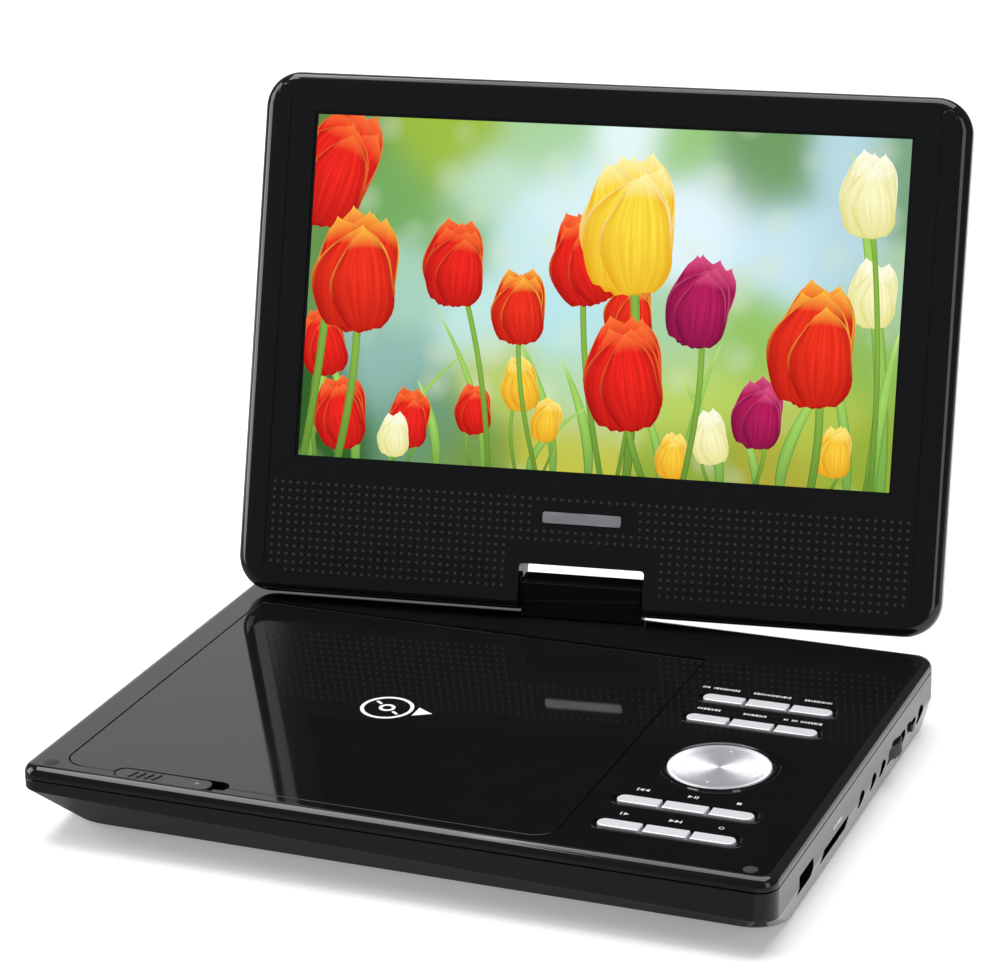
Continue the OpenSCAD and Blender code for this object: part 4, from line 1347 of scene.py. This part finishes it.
    def meadow_light(self) -> bpy.types.Material:
        """Builds the background's lit material from its colour attribute and soft round glints."""
        made = bpy.data.materials.new("meadow_light")
        made.use_nodes = True
        g = Graph(made.node_tree)
        colour = g.add("Attribute", attribute_name="meadow").outputs["Color"]
        spots = g.add("TexVoronoi", feature="SMOOTH_F1")
        g.put(spots, Vector=g.add("TexCoord").outputs["Object"], Scale=62.0, Smoothness=0.5)
        glow = g.band(spots.outputs["Distance"], 0.12, 0.42, 0.42, 0.0)
        pale = g.mix(glow, colour, (0.72, 0.82, 0.60))
        cloud = g.add("TexNoise")
        g.put(cloud, Vector=g.add("TexCoord").outputs["Object"], Scale=38.0, Detail=1.0)
        deep = g.band(cloud.outputs[0], 0.4, 0.72, 0.0, 0.55)
        return screen_light(made, g, g.mix(deep, pale, colour))

    def strip(self, bm: BMesh, cells: tuple[int, int], shape: SheetShape, z: float) -> None:
        """Adds a sheet of cells bent to a shape, with its own UV map.

        Args:
            bm: The mesh to add to.
            cells: Cells across and along.
            shape: Gives the place for across and along, 0 to 1 each.
            z: Height of the layer.
        """
        made = bmesh.ops.create_grid(bm, x_segments=cells[0], y_segments=cells[1], size=0.5)
        uv = bm.loops.layers.uv.verify()
        x0, y0, x1, y1 = self.left, self.low, self.left + self.wide, self.low + self.high
        for v in made["verts"]:
            a, b = v.co.x + 0.5, v.co.y + 0.5
            for loop in v.link_loops:
                loop[uv].uv = (a, b)
            x, y = shape(a, b)
            v.co = Vector((min(max(x, x0), x1), min(max(y, y0), y1), z))

    def petal(self, bm: BMesh, flower: Flower, shift: float, tilt: float, size: Pair, z: float) -> None:
        """Adds one petal of a tulip.

        Args:
            bm: The mesh to add to.
            flower: The tulip.
            shift: Move of the petal's foot across, in tulip heights.
            tilt: Turn of the petal, degrees.
            size: Width and height, in tulip heights.
            z: Height of the layer.
        """
        cx, cy = self.spot(flower.x, flower.y)
        tall = flower.size * self.high
        turn, lean = math.radians(-tilt), math.radians(-flower.lean)

        def shape(a: float, b: float) -> Pair:
            """Gives a place on the petal, across and along it, 0 to 1 each."""
            body = max(math.sin(math.pi * (0.07 + 0.93 * b) ** 0.86), 0.0) ** 0.62
            ruffle = 0.018 * math.sin(9.0 * b + 5.0 * shift) * (abs(a - 0.5) * 2) ** 3
            x = (a - 0.5) * size[0] * 1.16 * body + ruffle
            y = b * size[1] + 0.03 * math.sin(math.pi * a) * b
            px = x * math.cos(turn) - y * math.sin(turn) + shift
            py = x * math.sin(turn) + y * math.cos(turn) - 0.5
            return (
                cx + tall * (px * math.cos(lean) - py * math.sin(lean)),
                cy + tall * (px * math.sin(lean) + py * math.cos(lean)),
            )

        self.strip(bm, (10, 14), shape, z)

    def bloom(self, flower: Flower, layer: float) -> dict[str, BMesh]:
        """Makes one tulip and its stem.

        Args:
            flower: The tulip.
            layer: Height of its lowest layer.

        Returns:
            Meshes by tone.
        """
        head, stalk = bmesh.new(), bmesh.new()
        cx, cy = self.spot(flower.x, flower.y)
        foot = self.spot(flower.foot or flower.x, 0.0)[0]
        thick = max(1.0, flower.size * 7.5)

        def stem(a: float, b: float) -> Pair:
            """Gives a place on the stem, across and along it, 0 to 1 each."""
            bow = math.sin(b * math.pi) * 2.2 * (1 if flower.lean > 0 else -1)
            return foot + (cx - foot) * b + bow + (a - 0.5) * thick, self.low + (cy - self.low) * b

        self.strip(stalk, (2, 14), stem, layer)
        plan = (
            (-0.02, 9, (0.50, 0.98)), (0.03, -10, (0.50, 1.0)), (0.0, 1, (0.50, 0.95)),
            (-0.07, 15, (0.50, 0.92)), (0.08, -16, (0.50, 0.93)), (-0.05, 4, (0.60, 0.88)),
            (0.10, -7, (0.46, 0.80)),
        )
        dice = random.Random(round(flower.x * 1000))
        for i, (shift, tilt, size) in enumerate(plan):
            tilt += dice.uniform(-4, 4)
            tall = (size[0] * dice.uniform(0.94, 1.1), size[1] * dice.uniform(0.93, 1.02))
            self.petal(head, flower, shift, tilt, tall, layer + 0.005 * (i + 1))
        return {"stem": stalk, flower.tone: head}

    def blade_shape(self, a0: float, a1: float, rise: float, wide: float, a: float, b: float) -> Pair:
        """Gives a place on a leaf.

        Args:
            a0: Foot of the leaf, across.
            a1: Tip of the leaf, across.
            rise: Its height.
            wide: Its width.
            a: Across the leaf, 0 to 1.
            b: Along the leaf, 0 to 1.

        Returns:
            The place, in millimetres on the lid.
        """
        across = (a - 0.5) * wide * math.sin(math.pi * (0.25 + 0.75 * b)) ** 0.8 if b < 0.999 else 0.0
        return a0 + (a1 - a0) * b ** 1.8 + across, self.low + rise * b

    def blades(self) -> BMesh:
        """Makes the long leaves and grass between the stems."""
        bm = bmesh.new()
        plan = (
            (0.02, 0.06, 0.42, 3.0), (0.10, 0.02, 0.34, 4.0), (0.16, 0.30, 0.36, 2.0), (0.32, 0.22, 0.46, 2.4),
            (0.44, 0.36, 0.40, 3.0), (0.50, 0.44, 0.33, 3.6), (0.62, 0.56, 0.27, 3.0), (0.66, 0.71, 0.40, 2.4),
            (0.72, 0.64, 0.30, 3.6), (0.82, 0.90, 0.34, 4.2), (0.93, 0.86, 0.50, 3.4), (0.985, 0.90, 0.97, 4.4),
            (0.97, 1.00, 0.46, 4.0), (0.40, 0.50, 0.20, 3.0), (0.24, 0.20, 0.24, 3.4), (0.78, 0.74, 0.18, 3.0),
        )
        for i, (u0, u1, top, wide) in enumerate(plan):
            a0, a1 = self.spot(u0, 0)[0], self.spot(u1, 0)[0]
            shape = partial(self.blade_shape, a0, a1, top * self.high, wide)
            self.strip(bm, (3, 16), shape, self.sheet + 0.004 + 0.0012 * i)
        return bm

    def build(self) -> None:
        """Makes the background, leaves and tulips."""
        self.meadow()
        groups: dict[str, list[BMesh]] = {"blade": [self.blades()]}
        for i, flower in enumerate(Flower(*row) for row in self.flowers):
            for tone, bm in self.bloom(flower, self.sheet + 0.03 + 0.026 * i).items():
                groups.setdefault(tone, []).append(bm)
        for tone, parts in groups.items():
            finish = Lit("lit_" + tone, *self.tones[tone])
            piece("picture_" + tone, joined(parts), "lid", finish, (), upright())


# ---------------------------------------------------------------- studio


@dataclass
class Studio:
    """Floor, lights, surroundings and camera."""

    eye: Place = (362.5, -883.7, 438.1)
    aim: Place = (11.2, 39.8, 62.7)
    roll: float = -0.644
    lens: float = 121.1
    shift: Pair = (-0.0707, 0.0710)
    lamps: tuple[tuple, ...] = (
        ("top_panel", (0.2, 0.35, 1.7), (0.2, 0.35, 0.0), (1.6, 1.6), 34.0),
        ("rim_panel", (-0.72, -0.1, 1.5), (-0.72, -0.1, 0.0), (0.45, 1.7), 15.0),
        ("rear_panel", (-1.0, 1.9, 0.85), (-0.1, 0.0, 0.05), (2.2, 1.6), 9.0),
        ("left_panel", (-1.3, -0.3, 0.4), (-0.1, 0.05, 0.1), (0.7, 1.2), 12.0),
        ("right_panel", (1.2, -0.55, 0.5), (0.1, 0.0, 0.05), (0.5, 1.0), 3.5),
    )

    def floor(self) -> None:
        """Lays a pale floor that glows a little for the eye and in mirrors; in mirrors it turns dark in front of
        the player and everywhere left of its right wall up to its rear, painted shade that keeps the shell's
        front and lower faces black, while beside the right wall and far behind it stays pale.
        """
        bm = bmesh.new()
        bmesh.ops.create_grid(bm, x_segments=1, y_segments=1, size=6.0)
        obj = scene_object("studio_floor", baked("studio_floor", bm))
        paint = Finish("floor_paint", (0.82, 0.82, 0.82), 0.7, 0.0, Effect.SMUDGE, 3.0, 0.05, ior=1.1).material()
        obj.data.materials.append(paint)
        g = Graph(paint.node_tree)
        shader, path = paint.node_tree.nodes["Principled BSDF"], g.add("LightPath")
        g.put(shader, Emission_Color=(1.0, 1.0, 1.0, 1.0))
        glow = g.math("ADD", path.outputs["Is Camera Ray"], path.outputs["Is Glossy Ray"])
        g.put(shader, Emission_Strength=g.math("MULTIPLY", glow, 0.3))
        # Painted shade: this mask mixes the floor towards a dark sheet for glossy rays in front of the player and
        # under and left of it, so the shell mirrors darkness there.
        place = g.put(g.add("SeparateXYZ"), Vector=g.add("TexCoord").outputs["Object"])
        ahead = g.band(place.outputs[1], -0.11, -0.06, 0.6, 0.0)
        under = g.band(place.outputs[0], 0.105, 0.116, 0.8, 0.0)
        behind = g.band(place.outputs[1], 0.1, 0.3, 1.0, 0.0)
        near = g.math("MAXIMUM", ahead, g.math("MULTIPLY", under, behind))
        # The dark sheet that glossy rays see near the player: painted shade in the shell's reflections.
        dark = g.put(g.add("BsdfDiffuse"), Color=(0.02, 0.02, 0.02, 1.0))
        share = g.math("MULTIPLY", near, path.outputs["Is Glossy Ray"])
        g.blend(share, shader, dark, paint.node_tree.nodes["Material Output"])

    def lamp(self, name: str, at: Place, to: Place, size: Pair, power: float) -> None:
        """Adds a soft panel of light.

        Args:
            name: Its name.
            at: Its place, metres.
            to: What it faces, metres.
            size: Its width and height, metres.
            power: Its power, watts.
        """
        data = bpy.data.lights.new(name, "AREA")
        data.shape, data.size, data.size_y, data.energy = "RECTANGLE", size[0], size[1], power
        obj = scene_object(name, data)
        obj.location = at
        obj.rotation_euler = (Vector(to) - Vector(at)).to_track_quat("-Z", "Y").to_euler()
        obj.visible_camera = False

    def surroundings(self) -> None:
        """Makes the room white to the eye and dim in reflections."""
        world = bpy.data.worlds.new("studio")
        world.use_nodes = True
        bpy.context.scene.world = world
        g = Graph(world.node_tree)
        back = world.node_tree.nodes["Background"]
        dim = g.put(g.add("Background"), Color=(0.9, 0.95, 1.0, 1.0), Strength=0.16)
        g.put(back, Color=(1.0, 1.0, 1.0, 1.0), Strength=1.0)
        path = g.add("LightPath").outputs["Is Camera Ray"]
        g.blend(path, dim, back, world.node_tree.nodes["World Output"])

    def camera(self) -> None:
        """Sets the camera."""
        data = bpy.data.cameras.new("view")
        data.lens, data.sensor_width, data.sensor_fit = self.lens, 36.0, "HORIZONTAL"
        data.shift_x, data.shift_y = self.shift
        data.clip_start, data.clip_end = 0.01, 50.0
        obj = scene_object("view", data)
        eye, aim = Vector(self.eye) * MM, Vector(self.aim) * MM
        look = (aim - eye).to_track_quat("-Z", "Y").to_matrix().to_4x4()
        obj.matrix_world = Matrix.Translation(eye) @ look @ Matrix.Rotation(math.radians(self.roll), 4, "Z")
        bpy.context.scene.camera = obj

    def build(self) -> None:
        """Makes the whole studio."""
        self.floor()
        self.surroundings()
        self.camera()
        bpy.context.scene.view_settings.view_transform = "Standard"
        for lamp in self.lamps:
            self.lamp(*lamp)


def dress_frame() -> None:
    """Gives every carried-over CAD node its finish."""
    for name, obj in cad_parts.items():
        finish = NODE_FINISH.get(name, SILVER)
        obj.data.materials.clear()
        obj.data.materials.append(finish.material())
    LOG.info("dressed %d nodes", len(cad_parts))


def main() -> None:
    """Builds the player and its studio in order."""
    Studio().build()
    dress_frame()
    Base().build()
    DiscDoor().build()
    KeyRows().build()
    NavCluster().build()
    SideControls().build()
    Lid().build()
    SpeakerGrille().build()
    HingeBlock().build()
    Picture().build()


if __name__ == "__main__":
    logging.basicConfig(level=logging.INFO, format="%(message)s")
    main()
